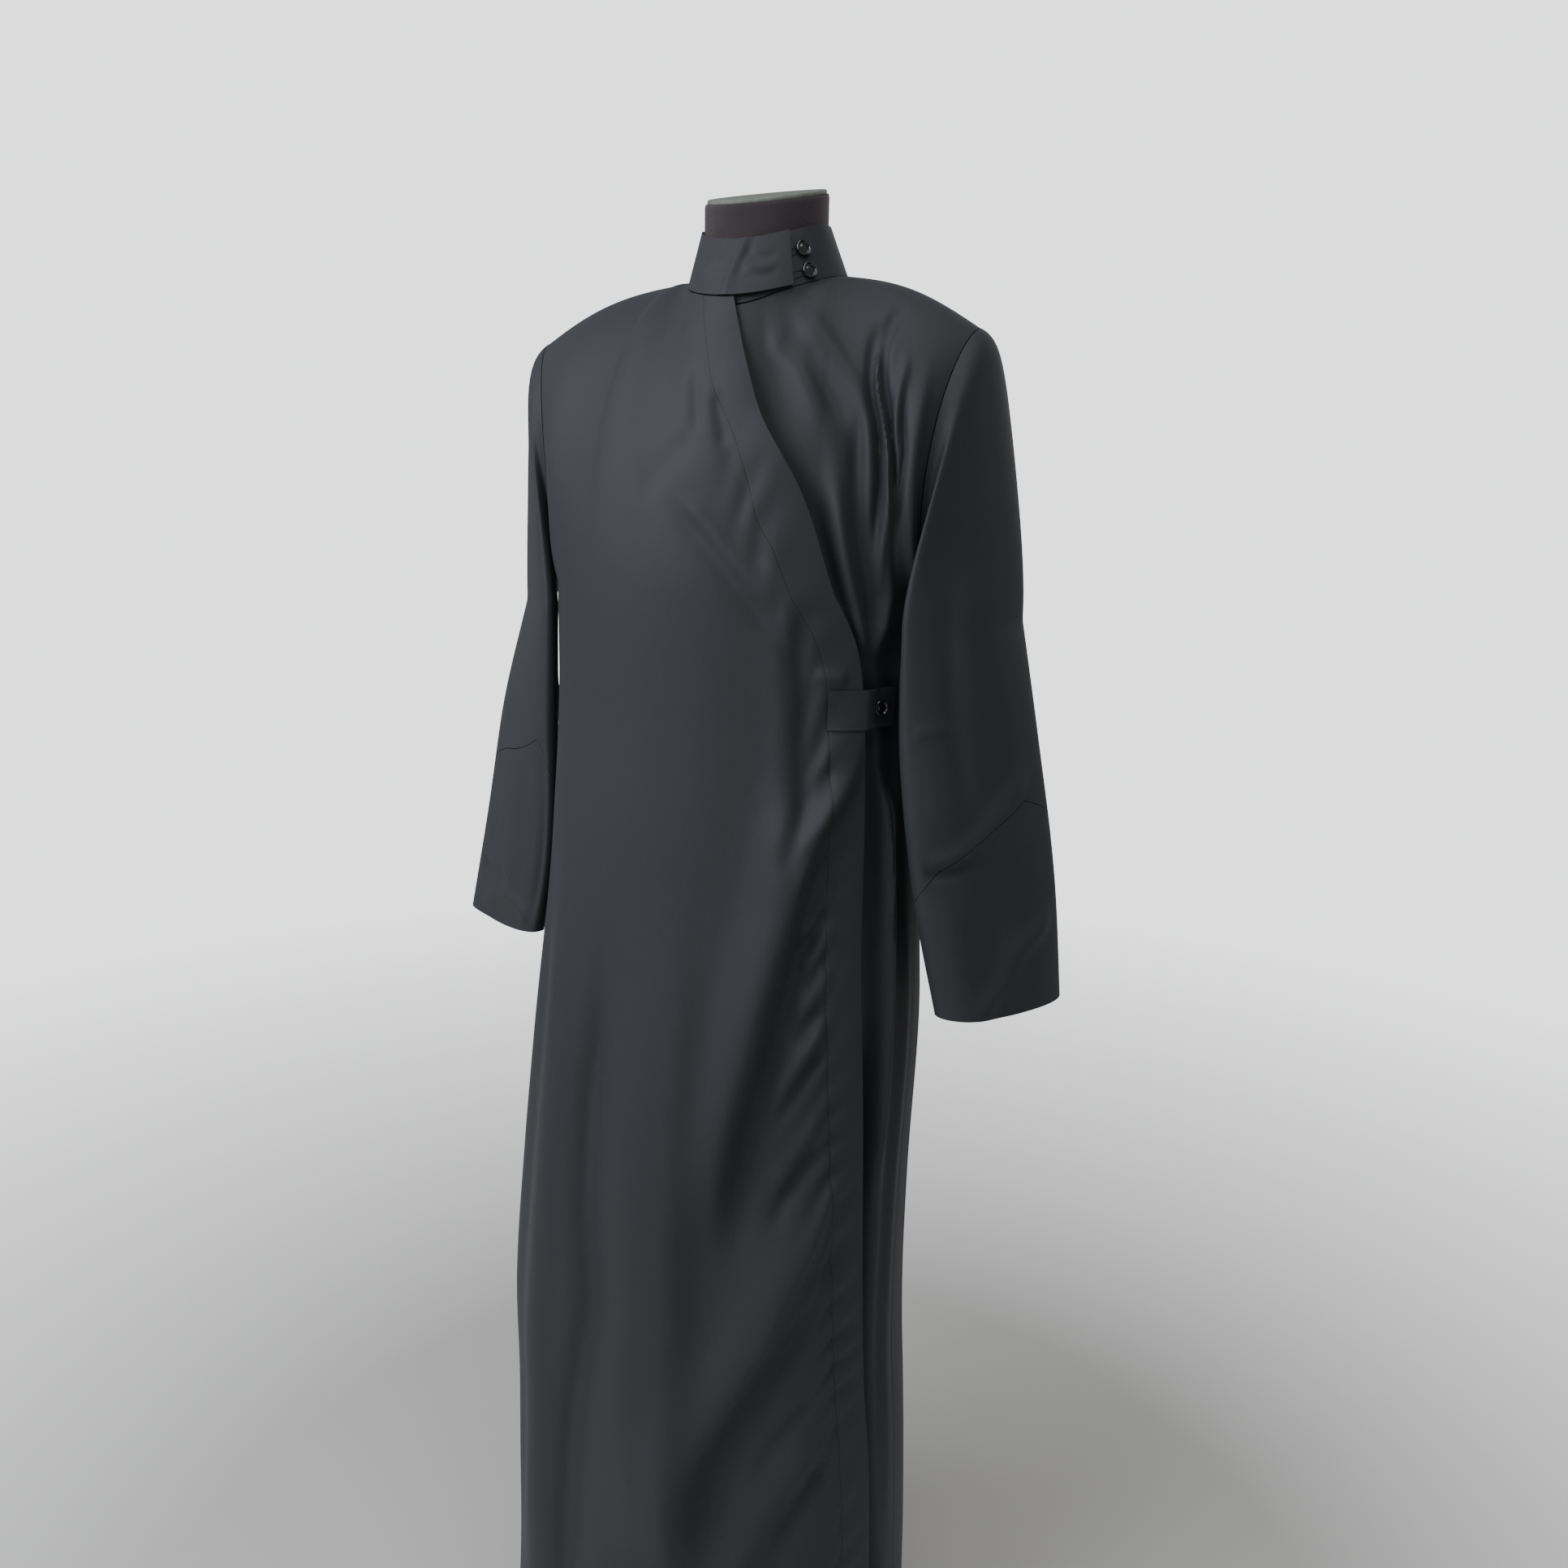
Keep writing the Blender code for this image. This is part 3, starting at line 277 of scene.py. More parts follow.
def section_points(side, across, height):
    """The body's round at one height; across runs from -1 to 1, side seam to side seam."""
    turn = np.abs(across) * math.pi / 2.0
    power = 2.0 / read(SECTIONS, height, "square")
    depth = read(SECTIONS, height, "front_depth" if side == FRONT else "back_depth")
    out = flanks(across) * read(SECTIONS, height, "half_width") * np.sin(turn) ** power
    return stacked(read(SECTIONS, height, "centre_x") + out,
                   side * depth * np.clip(np.cos(turn), 0.0, 1.0) ** power, height)


def top_points(side, across):
    """A panel's top edge: the shoulder seam outside NECK_SHARE and the neckline within it."""
    flank, reach = flanks(across), np.abs(across)
    neck_x = NECK_CENTRE_X + flank * NECK_HALF_WIDTH
    share = np.clip((reach - NECK_SHARE) / (1.0 - NECK_SHARE), 0.0, 1.0)
    seam = stacked(neck_x + (SHOULDER_CENTRE_X + flank * SHOULDER_HALF - neck_x) * share,
                   SHOULDER_Y,
                   NECK_SIDE_HEIGHT + (SHOULDER_HEIGHT - NECK_SIDE_HEIGHT) * share
                   + SHOULDER_CROWN * np.sin(math.pi * share))
    turn = np.clip(reach / NECK_SHARE, 0.0, 1.0) * math.pi / 2.0
    ahead = np.clip(np.cos(turn), 0.0, 1.0)
    depth = NECK_FRONT_DEPTH if side == FRONT else NECK_BACK_DEPTH
    middle = NECK_FRONT_HEIGHT if side == FRONT else NECK_BACK_HEIGHT
    neckline = stacked(NECK_CENTRE_X + flank * NECK_HALF_WIDTH * np.sin(turn),
                       SHOULDER_Y + (side * depth - SHOULDER_Y) * ahead,
                       NECK_SIDE_HEIGHT + (middle - NECK_SIDE_HEIGHT) * ahead ** NECK_RISE_POWER)
    return np.where((reach >= NECK_SHARE)[..., None], seam, neckline)


def pit_points(flank):
    return stacked(read(SECTIONS, ARMPIT_HEIGHT, "centre_x")
                   + flank * read(SECTIONS, ARMPIT_HEIGHT, "half_width"), 0.0, ARMPIT_HEIGHT)


def tip_points(flank):
    return stacked(SHOULDER_CENTRE_X + flank * SHOULDER_HALF, SHOULDER_Y, SHOULDER_HEIGHT)


def armhole_points(flank, turn):
    """The armhole's loop: turn 90 is the shoulder tip, 270 the armpit, 180 front, 0 back."""
    angle = np.radians(turn)
    share = (0.5 + 0.5 * np.sin(angle))[..., None]
    points = pit_points(flank) * (1.0 - share) + tip_points(flank) * share
    points[..., 1] += ARMHOLE_SPAN * np.cos(angle)
    dip = np.where(np.asarray(flank) > 0, ARMHOLE_DIP, RIGHT_DIP)
    points[..., 0] -= flank * dip * np.abs(np.cos(angle)) ** ARMHOLE_POWER
    return points


def risen(low, high, out_share, up_share):
    shares = stacked(out_share, out_share, up_share)
    return low + (high - low) * shares


def body_points(side, across, level):
    """The garment's surface. Above the armpit it rises to the shoulder seam and neckline."""
    across, level = np.broadcast_arrays(across, level)
    low = section_points(side, across, np.minimum(level, ARMPIT_HEIGHT))
    rise = np.clip((level - ARMPIT_HEIGHT) / UPPER_RUN, 0.0, 1.0)
    round_out = 1.0 - np.cos(rise * math.pi / 2.0)
    round_up = np.sin(rise * math.pi / 2.0)
    shoulder = ramp(np.abs(across), SHOULDER_BLEND)
    chest = risen(low, top_points(side, across),
                  round_out * shoulder + rise ** FRONT_RISE_POWER * (1.0 - shoulder),
                  round_up * shoulder + rise * (1.0 - shoulder))
    flank = flanks(across)
    plain = risen(pit_points(flank), tip_points(flank), round_out, round_up)
    turn = 270.0 - 180.0 * rise if side == FRONT else 180.0 * rise - 90.0
    hold = ramp(np.abs(across), ARMHOLE_BLEND)[..., None]
    chest = chest + (armhole_points(flank, turn) - plain) * hold
    return np.where((level > ARMPIT_HEIGHT)[..., None], chest, low)


def unit(vectors):
    return vectors / np.linalg.norm(vectors, axis=-1, keepdims=True)


def surface_points(side, across, level, lift):
    """The garment's surface, moved out square to itself by lift."""
    near = 0.01
    along = (body_points(side, np.minimum(1.0, across + near), level)
             - body_points(side, np.maximum(-1.0, across - near), level))
    upward = (body_points(side, across, np.minimum(TOP_LEVEL, level + near))
              - body_points(side, across, np.maximum(0.0, level - near)))
    outward = unit(np.cross(along, upward)) * -side
    return body_points(side, across, level) + outward * np.asarray(lift)[..., None]


def bent(start, start_way, end, end_way, share):
    """Places on a curve that leaves start one way and reaches end another."""
    square, cube = share ** 2, share ** 3
    return (start * (2.0 * cube - 3.0 * square + 1.0) + start_way * (cube - 2.0 * square + share)
            + end * (3.0 * square - 2.0 * cube) + end_way * (cube - square))


def bent_path(places, pieces=6):
    """A smooth path through a few places."""
    places = np.array(places, dtype=float)
    ways = np.gradient(places, axis=0)
    share = np.linspace(0.0, 1.0, pieces, endpoint=False)[:, None]
    runs = [bent(places[i], ways[i], places[i + 1], ways[i + 1], share)
            for i in range(len(places) - 1)]
    return np.concatenate(runs + [places[-1:]])


def crease_lift(creases, cut_x, cut_y, girth=QUARTER_GIRTH):
    """How far soft creases stand out of a sheet, at places of its flat cut in metres."""
    total = np.zeros(np.shape(cut_x))
    for crease in creases:
        path = bent_path(crease.path) * (girth, 1.0)
        reach = CREASE_REACH * crease.half_width
        low, high = path.min(axis=0) - reach, path.max(axis=0) + reach
        inside = (cut_x > low[0]) & (cut_x < high[0]) & (cut_y > low[1]) & (cut_y < high[1])
        x, y = cut_x[inside], cut_y[inside]
        nearest = np.full(x.shape, reach)
        along = np.zeros(x.shape)
        flank = np.ones(x.shape)
        lengths = np.linalg.norm(np.diff(path, axis=0), axis=1)
        walked = np.concatenate(([0.0], np.cumsum(lengths)))
        for start, end, length, before in zip(path, path[1:], lengths, walked):
            way = (end - start) / length
            run = np.clip((x - start[0]) * way[0] + (y - start[1]) * way[1], 0.0, length)
            off_x, off_y = x - start[0] - way[0] * run, y - start[1] - way[1] * run
            distance = np.hypot(off_x, off_y)
            closer = distance < nearest
            nearest = np.where(closer, distance, nearest)
            along = np.where(closer, (before + run) / walked[-1], along)
            flank = np.where(closer, np.sign(way[0] * off_y - way[1] * off_x), flank)
        width = crease.half_width * (1.0 + crease.lean * flank)
        fade = smooth(along / CREASE_FADE) * smooth((1.0 - along) / CREASE_FADE)
        total[inside] += crease.depth * fade * np.exp(-(nearest / width) ** 2)
    return total


def over_edge(level):
    return read(OVER_EDGE, level, "across")


def under_edge(level):
    return read(UNDER_EDGE, level, "across")


def under_sink(level):
    return NECK_SINK + (CHEST_SINK - NECK_SINK) * ramp(-level, SINK_ENDS)


def band_share(level):
    """The band's width, measured level, as a share of the way across the front."""
    edge = over_edge(level)
    rate = np.linalg.norm(body_points(FRONT, edge + STEP, level)
                          - body_points(FRONT, edge - STEP, level), axis=-1) / (2.0 * STEP)
    slant = (over_edge(level + STEP) - over_edge(level - STEP)) / (2.0 * STEP) * rate
    width = BAND_HEM_WIDTH + (BAND_TOP_WIDTH - BAND_HEM_WIDTH) * level / TOP_LEVEL
    return width * np.hypot(1.0, slant) / rate


def pucker_lift(across, level):
    """Short slanting waves on both sides of the band's seam, and the groove of the seam."""
    distance = (across - over_edge(level) + band_share(level)) * QUARTER_GIRTH
    rise = np.where(distance < 0.0, PUCKER_RISE["panel"], PUCKER_RISE["band"])
    phase = (level - rise * distance) / PUCKER_PITCH
    phase = phase + PUCKER_WANDER * np.sin(level * PUCKER_WANDER_RATE)
    uneven = (1.0 - PUCKER_UNEVEN
              + PUCKER_UNEVEN * np.sin(level * PUCKER_UNEVEN_RATE + PUCKER_UNEVEN_START))
    near = np.exp(-(distance / PUCKER_REACH) ** 2)
    waves = PUCKER_DEPTH * uneven * near * np.sin(2.0 * math.pi * phase)
    groove = SEAM_GROOVE * np.exp(-(distance / SEAM_GROOVE_REACH) ** 2)
    return (waves - groove) * (PUCKER_LEAST + (1.0 - PUCKER_LEAST) * ramp(-level, PUCKER_RAMP))


def over_lift(across, level):
    """The right front and its bands: they spring from the side seam to lie over the left."""
    near_neck = smooth((level - TOP_LEVEL + NECK_RUN) / NECK_RUN)
    lift = OVERLAP_LIFT * ramp(across, LIFT_FROM_SIDE) * (1.0 - near_neck)
    lift += NECK_LIFT * ramp(across / NECK_SHARE, NECK_LIFT_ROUND) * near_neck
    held = ramp(across, FOLDS_FROM_SIDE) * (1.0 - near_neck)
    curl = smooth((across - over_edge(level) + CURL_REACH) / CURL_REACH)
    lift += EDGE_CURL * curl * ramp(level, CURL_BEGINS) * ramp(-level, CURL_ENDS)
    lift += crease_lift(OVER_CREASES, across * QUARTER_GIRTH, level) * held
    lift += pucker_lift(across, level) * held
    backed = ramp(across - under_edge(level), BACKED)
    least = LEAST_OVERLAP - (under_sink(level) - NECK_SINK)
    floor = least * backed + UNBACKED_FLOOR * (1.0 - backed) * (1.0 - near_neck)
    return np.maximum(lift, floor)


def over_points(across, level):
    return surface_points(FRONT, across, level, over_lift(across, level))


def flat_cut(across, level):
    return np.stack(np.broadcast_arrays(across * QUARTER_GIRTH, level), axis=-1)


# Rows of the body panels lie closer together toward the chest, where the creases are finer.
LEVEL_SHARES = [0.0, 0.36, 0.56, 1.0]
LEVEL_STOPS = [HEM_HEIGHT, 0.88, 1.18, TOP_LEVEL - SEAM_GAP]


def row_level(row):
    return np.interp(row, LEVEL_SHARES, LEVEL_STOPS)


MERGE_WITHIN = 0.00002


def kept(name, data, material):
    """Adds a mesh or a curve as a piece of the one body, which has no joints."""
    data.materials.append(material)
    piece = bpy.data.objects.new(name, data)
    bpy.context.scene.collection.objects.link(piece)
    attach(piece, "root")
    return piece


def add_piece(name, work, material, angle=50.0):
    """Keeps a finished mesh as a smooth-shaded piece; edges above the angle stay sharp."""
    mesh = bpy.data.meshes.new(name)
    work.to_mesh(mesh)
    work.free()
    mesh.shade_smooth()
    mesh.set_sharp_from_angle(angle=math.radians(angle))
    return kept(name, mesh, material)


def cloth(name, node, place, columns, rows, thickness=CLOTH, way=1, closed=False):
    """A cloth piece: a grid that place() bends, kept as a thin shell with its flat cut as UV.

    way is -1 where the grid would face inward, and closed joins its first and last column.
    """
    work = bmesh.new()
    bmesh.ops.create_grid(work, x_segments=columns, y_segments=rows, size=0.5)
    shares = np.array([vertex.co[:2] for vertex in work.verts]) + 0.5
    points, cut = place(shares[:, 0], shares[:, 1])
    layer = work.loops.layers.uv.new("Cut")
    for vertex, point in zip(work.verts, points):
        vertex.co = point
    for face in work.faces:
        for loop in face.loops:
            loop[layer].uv = cut[loop.vert.index]
    if closed:
        bmesh.ops.remove_doubles(work, verts=work.verts, dist=MERGE_WITHIN)
    if way < 0:
        bmesh.ops.reverse_faces(work, faces=work.faces)
    work.normal_update()
    bmesh.ops.solidify(work, geom=work.faces[:], thickness=thickness)
    piece = add_piece(name, work, suiting)
    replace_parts(piece, node)
    return piece


def group_socket(group, name, kind, value=None, way="INPUT"):
    socket = group.interface.new_socket(name=name, in_out=way, socket_type=kind)
    if value is not None:
        socket.default_value = value
    return socket


def noise(nodes, links, vector, scale, detail):
    """Cloudy values from 0 to 1."""
    cloud = nodes.new("ShaderNodeTexNoise")
    cloud.inputs["Scale"].default_value = scale
    cloud.inputs["Detail"].default_value = detail
    links.new(vector, cloud.inputs["Vector"])
    return cloud.outputs["Fac"]


def stretched(nodes, links, vector, scale):
    stretch = nodes.new("ShaderNodeMapping")
    stretch.inputs["Scale"].default_value = scale
    links.new(vector, stretch.inputs["Vector"])
    return stretch.outputs["Vector"]


def twill_group():
    """Fine diagonal ribs of a twill, with slight slubs: a height for the weave and a tone."""
    group = bpy.data.node_groups.new("twill_weave", "ShaderNodeTree")
    group_socket(group, "Cut", "NodeSocketVector")
    group_socket(group, "Ribs per metre", "NodeSocketFloat", 900.0)
    group_socket(group, "Slub", "NodeSocketFloat", 0.3)
    group_socket(group, "Height", "NodeSocketFloat", way="OUTPUT")
    group_socket(group, "Tone", "NodeSocketFloat", way="OUTPUT")
    nodes, links = group.nodes, group.links
    ends = nodes.new("NodeGroupInput")
    out = nodes.new("NodeGroupOutput")
    wave = nodes.new("ShaderNodeTexWave")
    wave.wave_type = "BANDS"
    wave.bands_direction = "DIAGONAL"
    wave.inputs["Distortion"].default_value = 0.6
    wave.inputs["Detail"].default_value = 1.0
    links.new(ends.outputs["Cut"], wave.inputs["Vector"])
    links.new(ends.outputs["Ribs per metre"], wave.inputs["Scale"])
    threads = stretched(nodes, links, ends.outputs["Cut"], (420.0, 60.0, 1.0))
    slub = noise(nodes, links, threads, 1.0, 2.0)
    mix = nodes.new("ShaderNodeMix")
    mix.data_type = "FLOAT"
    links.new(ends.outputs["Slub"], mix.inputs["Factor"])
    links.new(wave.outputs["Fac"], mix.inputs["A"])
    links.new(slub, mix.inputs["B"])
    links.new(mix.outputs["Result"], out.inputs["Height"])
    links.new(slub, out.inputs["Tone"])
    return group


def material_with(name, roughness, **sockets):
    """A Principled material; the keywords name its plain sockets."""
    material = bpy.data.materials.new(name)
    material.use_nodes = True
    shader = material.node_tree.nodes["Principled BSDF"]
    shader.inputs["Roughness"].default_value = roughness
    for socket, value in sockets.items():
        shader.inputs[socket.replace("_", " ")].default_value = value
    return material, material.node_tree.nodes, material.node_tree.links, shader


def two_tones(nodes, links, shader, factor, dark, light):
    """Base Color that runs between two tones as factor runs from 0 to 1."""
    tones = nodes.new("ShaderNodeMix")
    tones.data_type = "RGBA"
    tones.inputs["A"].default_value = (*dark, 1.0)
    tones.inputs["B"].default_value = (*light, 1.0)
    links.new(factor, tones.inputs["Factor"])
    links.new(tones.outputs["Result"], shader.inputs["Base Color"])


def roughness_from(nodes, links, shader, factor, least, most):
    rough = nodes.new("ShaderNodeMapRange")
    rough.inputs["To Min"].default_value = least
    rough.inputs["To Max"].default_value = most
    links.new(factor, rough.inputs["Value"])
    links.new(rough.outputs["Result"], shader.inputs["Roughness"])


def bump_from(nodes, links, shader, height, strength, distance):
    bump = nodes.new("ShaderNodeBump")
    bump.inputs["Strength"].default_value = strength
    bump.inputs["Distance"].default_value = distance
    links.new(height, bump.inputs["Height"])
    links.new(bump.outputs["Normal"], shader.inputs["Normal"])


def suiting_material():
    """Thin smooth suiting: near-black with a cool cast, a soft satin sheen and a fine twill."""
    material, nodes, links, shader = material_with(
        "black_suiting", 0.64, Sheen_Weight=0.04, Sheen_Roughness=0.45,
        Sheen_Tint=(0.62, 0.70, 0.78, 1.0), Specular_IOR_Level=0.32)
    cut = nodes.new("ShaderNodeUVMap")
    cut.uv_map = "Cut"
    twill = nodes.new("ShaderNodeGroup")
    twill.node_tree = weave
    links.new(cut.outputs["UV"], twill.inputs["Cut"])
    cloud = noise(nodes, links, nodes.new("ShaderNodeTexCoord").outputs["Object"], 5.0, 3.0)
    tone = nodes.new("ShaderNodeMath")
    tone.operation = "MULTIPLY_ADD"
    tone.inputs[1].default_value = 0.4
    links.new(twill.outputs["Tone"], tone.inputs[0])
    half = nodes.new("ShaderNodeMath")
    half.operation = "MULTIPLY"
    half.inputs[1].default_value = 0.6
    links.new(cloud, half.inputs[0])
    links.new(half.outputs["Value"], tone.inputs[2])
    two_tones(nodes, links, shader, tone.outputs["Value"], (0.0208, 0.0220, 0.0262),
              (0.0312, 0.0328, 0.0386))
    roughness_from(nodes, links, shader, cloud, 0.56, 0.68)
    bump_from(nodes, links, shader, twill.outputs["Height"], 0.25, 0.0001)
    return material


weave = twill_group()
suiting = suiting_material()

# Columns lie closer beside the band, where the puckers are.
COLUMN_SHARES = [0.0, 0.78, 1.0]
COLUMN_STOPS = [0.0, 0.93, 1.0]


def right_front_place(column, row):
    level = row_level(row)
    start = SEAM_SHARE - 1.0
    seam = over_edge(level) - band_share(level) - SEAM_SHARE
    across = start + (seam - start) * np.interp(column, COLUMN_SHARES, COLUMN_STOPS)
    return over_points(across, level), flat_cut(across, level)


right_front = cloth("right_front_panel", "front_right", right_front_place,
                    columns=126, rows=316)

# ---------------------------------------------------------------- the two edge bands
# Doubled strips of the same cloth that finish the right front's free edge: one runs diagonally
# from the neck to the waist, the other upright from there to the hem. Each is topstitched.
BAND_CLOTH = 0.0022
JOIN_LEVEL = 1.255           # where the diagonal band meets the upright one


def band_place(low_level, high_level):
    def place(column, row):
        level = low_level + (high_level - low_level) * row
        across = over_edge(level) - band_share(level) * (1.0 - column)
        return over_points(across, level), flat_cut(across, level)
    return place


upright_band = cloth("upright_band", "band_upright", band_place(HEM_HEIGHT, JOIN_LEVEL),
                     columns=12, rows=260, thickness=BAND_CLOTH)
diagonal_band = cloth("diagonal_band", "band_diagonal",
                      band_place(JOIN_LEVEL + SEAM_GAP, TOP_LEVEL - SEAM_GAP),
                      columns=12, rows=140, thickness=BAND_CLOTH)

# ---------------------------------------------------------------- left front
# The under panel. It runs on behind the right front to past the middle, and what shows of it is
# gathered by the waist tab into ridges that climb to the shoulder.
COVER_REACH = 0.08
COVER_PAST = 0.03            # past the right front's edge it lies at its own height again
SEAM_HOLD = 0.12
TOP_HOLD = 0.055
WEDGE_DROP = 0.006           # the left neckline shows below the lapping collar at the front
WEDGE_BESIDE = Ramp(-0.21, 0.20)
WEDGE_RUN = 0.06
COVERED_COLUMNS = 0.12       # few columns are needed where the right front covers it
COVERED_END = 0.06
UNDER_CREASES = [
    # ridges and troughs that climb from the tab to the shoulder
    Crease(0.010, 0.0054, -0.10, [(0.100, 1.615), (0.165, 1.583), (0.305, 1.515), (0.380, 1.490),
                                  (0.450, 1.474), (0.535, 1.459), (0.580, 1.440), (0.600, 1.395)]),
    Crease(0.007, -0.0042, 0.0, [(0.140, 1.600), (0.250, 1.528), (0.345, 1.478), (0.420, 1.454),
                                 (0.485, 1.440), (0.535, 1.412)]),
    Crease(0.008, 0.0034, 0.0, [(0.100, 1.595), (0.225, 1.520), (0.320, 1.468), (0.380, 1.444),
                                (0.430, 1.430), (0.475, 1.405)]),
    Crease(0.008, -0.0028, 0.0, [(0.140, 1.545), (0.250, 1.486), (0.320, 1.448), (0.390, 1.420),
                                 (0.440, 1.395)]),
    Crease(0.007, -0.0070, 0.0, [(0.625, 1.525), (0.580, 1.497), (0.573, 1.479), (0.590, 1.464),
                                 (0.625, 1.452), (0.640, 1.425), (0.625, 1.400), (0.600, 1.370)]),
    Crease(0.006, 0.0046, 0.0, [(0.610, 1.510), (0.602, 1.495), (0.618, 1.472), (0.663, 1.458),
                                (0.700, 1.443), (0.692, 1.418), (0.650, 1.388), (0.620, 1.345)]),
    Crease(0.007, -0.0070, 0.0, [(0.720, 1.550), (0.655, 1.522), (0.633, 1.501), (0.652, 1.480),
                                 (0.700, 1.464), (0.735, 1.440), (0.720, 1.405)]),
    Crease(0.010, -0.0080, 0.0, [(0.548, 1.460), (0.531, 1.428), (0.540, 1.404), (0.567, 1.379),
                                 (0.599, 1.350), (0.620, 1.300)]),
    Crease(0.009, 0.0070, -0.20, [(0.430, 1.425), (0.453, 1.407), (0.478, 1.386), (0.503, 1.366),
                                  (0.545, 1.338), (0.590, 1.308), (0.620, 1.280)]),
    Crease(0.007, -0.0040, 0.0, [(0.370, 1.412), (0.406, 1.388), (0.443, 1.370), (0.500, 1.345),
                                 (0.560, 1.310)]),
    Crease(0.008, 0.0034, 0.0, [(0.780, 1.515), (0.745, 1.488), (0.735, 1.463), (0.728, 1.440)]),
    Crease(0.007, -0.0045, 0.0, [(0.780, 1.505), (0.790, 1.474), (0.815, 1.460), (0.780, 1.432),
                                 (0.716, 1.400), (0.680, 1.350)]),
    Crease(0.008, 0.0050, 0.0, [(0.740, 1.440), (0.700, 1.395), (0.670, 1.345), (0.650, 1.290)]),
    Crease(0.008, 0.0016, 0.0, [(0.180, 1.586), (0.330, 1.572), (0.520, 1.562), (0.680, 1.556)]),
    # pulled in under the strap's end
    Crease(0.024, -0.0130, 0.0, [(0.690, 1.330), (0.735, 1.275), (0.765, 1.245), (0.775, 1.190),
                                 (0.780, 1.140)]),
    # beside the armhole
    Crease(0.018, 0.0060, 0.0, [(0.870, 1.330), (0.865, 1.400), (0.880, 1.460), (0.900, 1.530)]),
    # below the tab: a hollow beside the band, and a sharp ridge that falls from the tab's end
    Crease(0.010, -0.0070, 0.0, [(0.650, 1.240), (0.690, 1.170), (0.700, 1.070), (0.690, 0.980),
                                 (0.705, 0.890), (0.725, 0.800), (0.750, 0.700), (0.790, 0.560)]),
    Crease(0.009, 0.0110, 0.20, [(0.700, 1.225), (0.735, 1.140), (0.757, 1.063), (0.767, 0.979),
                                 (0.770, 0.900), (0.780, 0.800), (0.800, 0.680)]),
    Crease(0.012, -0.0060, 0.0, [(0.780, 1.200), (0.805, 1.120), (0.835, 1.050), (0.865, 0.970),
                                 (0.880, 0.870), (0.895, 0.740), (0.900, 0.500), (0.900, 0.200)]),
    Crease(0.014, 0.0050, 0.0, [(0.930, 1.050), (0.935, 0.880), (0.950, 0.700), (0.950, 0.300)]),
]
# From the tab down the left front falls away behind the band in a deep narrow hollow.
HOLLOW_DEPTH = 0.030
HOLLOW_BESIDE = 0.007        # where it is deepest, past the band's edge
HOLLOW_HALF_WIDTH = 0.016
HOLLOW_FROM = Ramp(-1.34, 0.10)
NECK_HOLLOW = 0.010          # above the waist it lies back a little beside the band's edge
NECK_HOLLOW_WIDTH = 0.013
NECK_HOLLOW_FROM = Ramp(1.32, 0.05)
# How far in the left front may fall before it rests on the form.
RoomRow = namedtuple("RoomRow", "level room")
FORM_ROOM = [
    RoomRow(0.60, 0.0500),
    RoomRow(0.80, 0.0450),
    RoomRow(0.86, 0.0260),
    RoomRow(0.90, 0.0190),
    RoomRow(0.95, 0.0155),
    RoomRow(1.00, 0.0165),
    RoomRow(1.05, 0.0195),
    RoomRow(1.10, 0.0220),
    RoomRow(1.15, 0.0210),
    RoomRow(1.24, 0.0175),
    RoomRow(1.32, 0.0145),
    RoomRow(1.44, 0.0115),
    RoomRow(1.50, 0.0055),
    RoomRow(1.56, 0.0022),
    RoomRow(TOP_LEVEL, 0.0010),
]
# The corner between the neckline and the shoulder seam is bridged over this far to each side.
NECK_BRIDGE = [(-0.070, 1.0 / 9.0), (-0.035, 2.0 / 9.0), (0.0, 3.0 / 9.0), (0.035, 2.0 / 9.0),
               (0.070, 1.0 / 9.0)]
BRIDGE_REACH = 0.17
BRIDGE_FROM = Ramp(1.40, 0.10)
BRIDGE_TOP_RUN = 0.015


def seam_hold(across, level):
    """How freely a panel folds: the side and shoulder seams hold it flat beside them."""
    return smooth((1.0 - np.abs(across)) / SEAM_HOLD) * smooth((TOP_LEVEL - level) / TOP_HOLD)


def under_lift(across, level):
    """The left front: it lies back where the right front covers it."""
    covered = smooth((over_edge(level) + COVER_PAST - across) / COVER_REACH)
    lift = crease_lift(UNDER_CREASES, across * QUARTER_GIRTH, level)
    lift *= (1.0 - covered) * seam_hold(across, level)
    beside = (across - over_edge(level)) * QUARTER_GIRTH - HOLLOW_BESIDE
    lift -= HOLLOW_DEPTH * np.exp(-(beside / HOLLOW_HALF_WIDTH) ** 2) * ramp(-level, HOLLOW_FROM)
    lift -= NECK_HOLLOW * np.exp(-(beside / NECK_HOLLOW_WIDTH) ** 2) * ramp(level, NECK_HOLLOW_FROM)
    room = read(FORM_ROOM, level, "room")
    lift = np.maximum(lift, 0.0) + room * np.tanh(np.minimum(lift, 0.0) / room)
    return np.maximum(lift - under_sink(level) * covered, -room)


def under_points(across, level):
    """The left front's surface, with the corner under the collar's side bridged softly."""
    lift = under_lift(across, level)
    plain = surface_points(FRONT, across, level, lift)
    bridged = sum(share * surface_points(FRONT, np.clip(across + step, -1.0, 1.0), level, lift)
                  for step, share in NECK_BRIDGE)
    near = (smooth(1.0 - np.abs(across - NECK_SHARE) / BRIDGE_REACH)
            * ramp(level, BRIDGE_FROM) * smooth((TOP_LEVEL - level) / BRIDGE_TOP_RUN))
    return plain + (bridged - plain) * near[..., None]


def neck_wedge(across, level):
    """How far the left front's neckline dips below the other's, at the middle front."""
    beside = ramp(-across, WEDGE_BESIDE)
    return WEDGE_DROP * beside * smooth((level - TOP_LEVEL + WEDGE_RUN) / WEDGE_RUN)


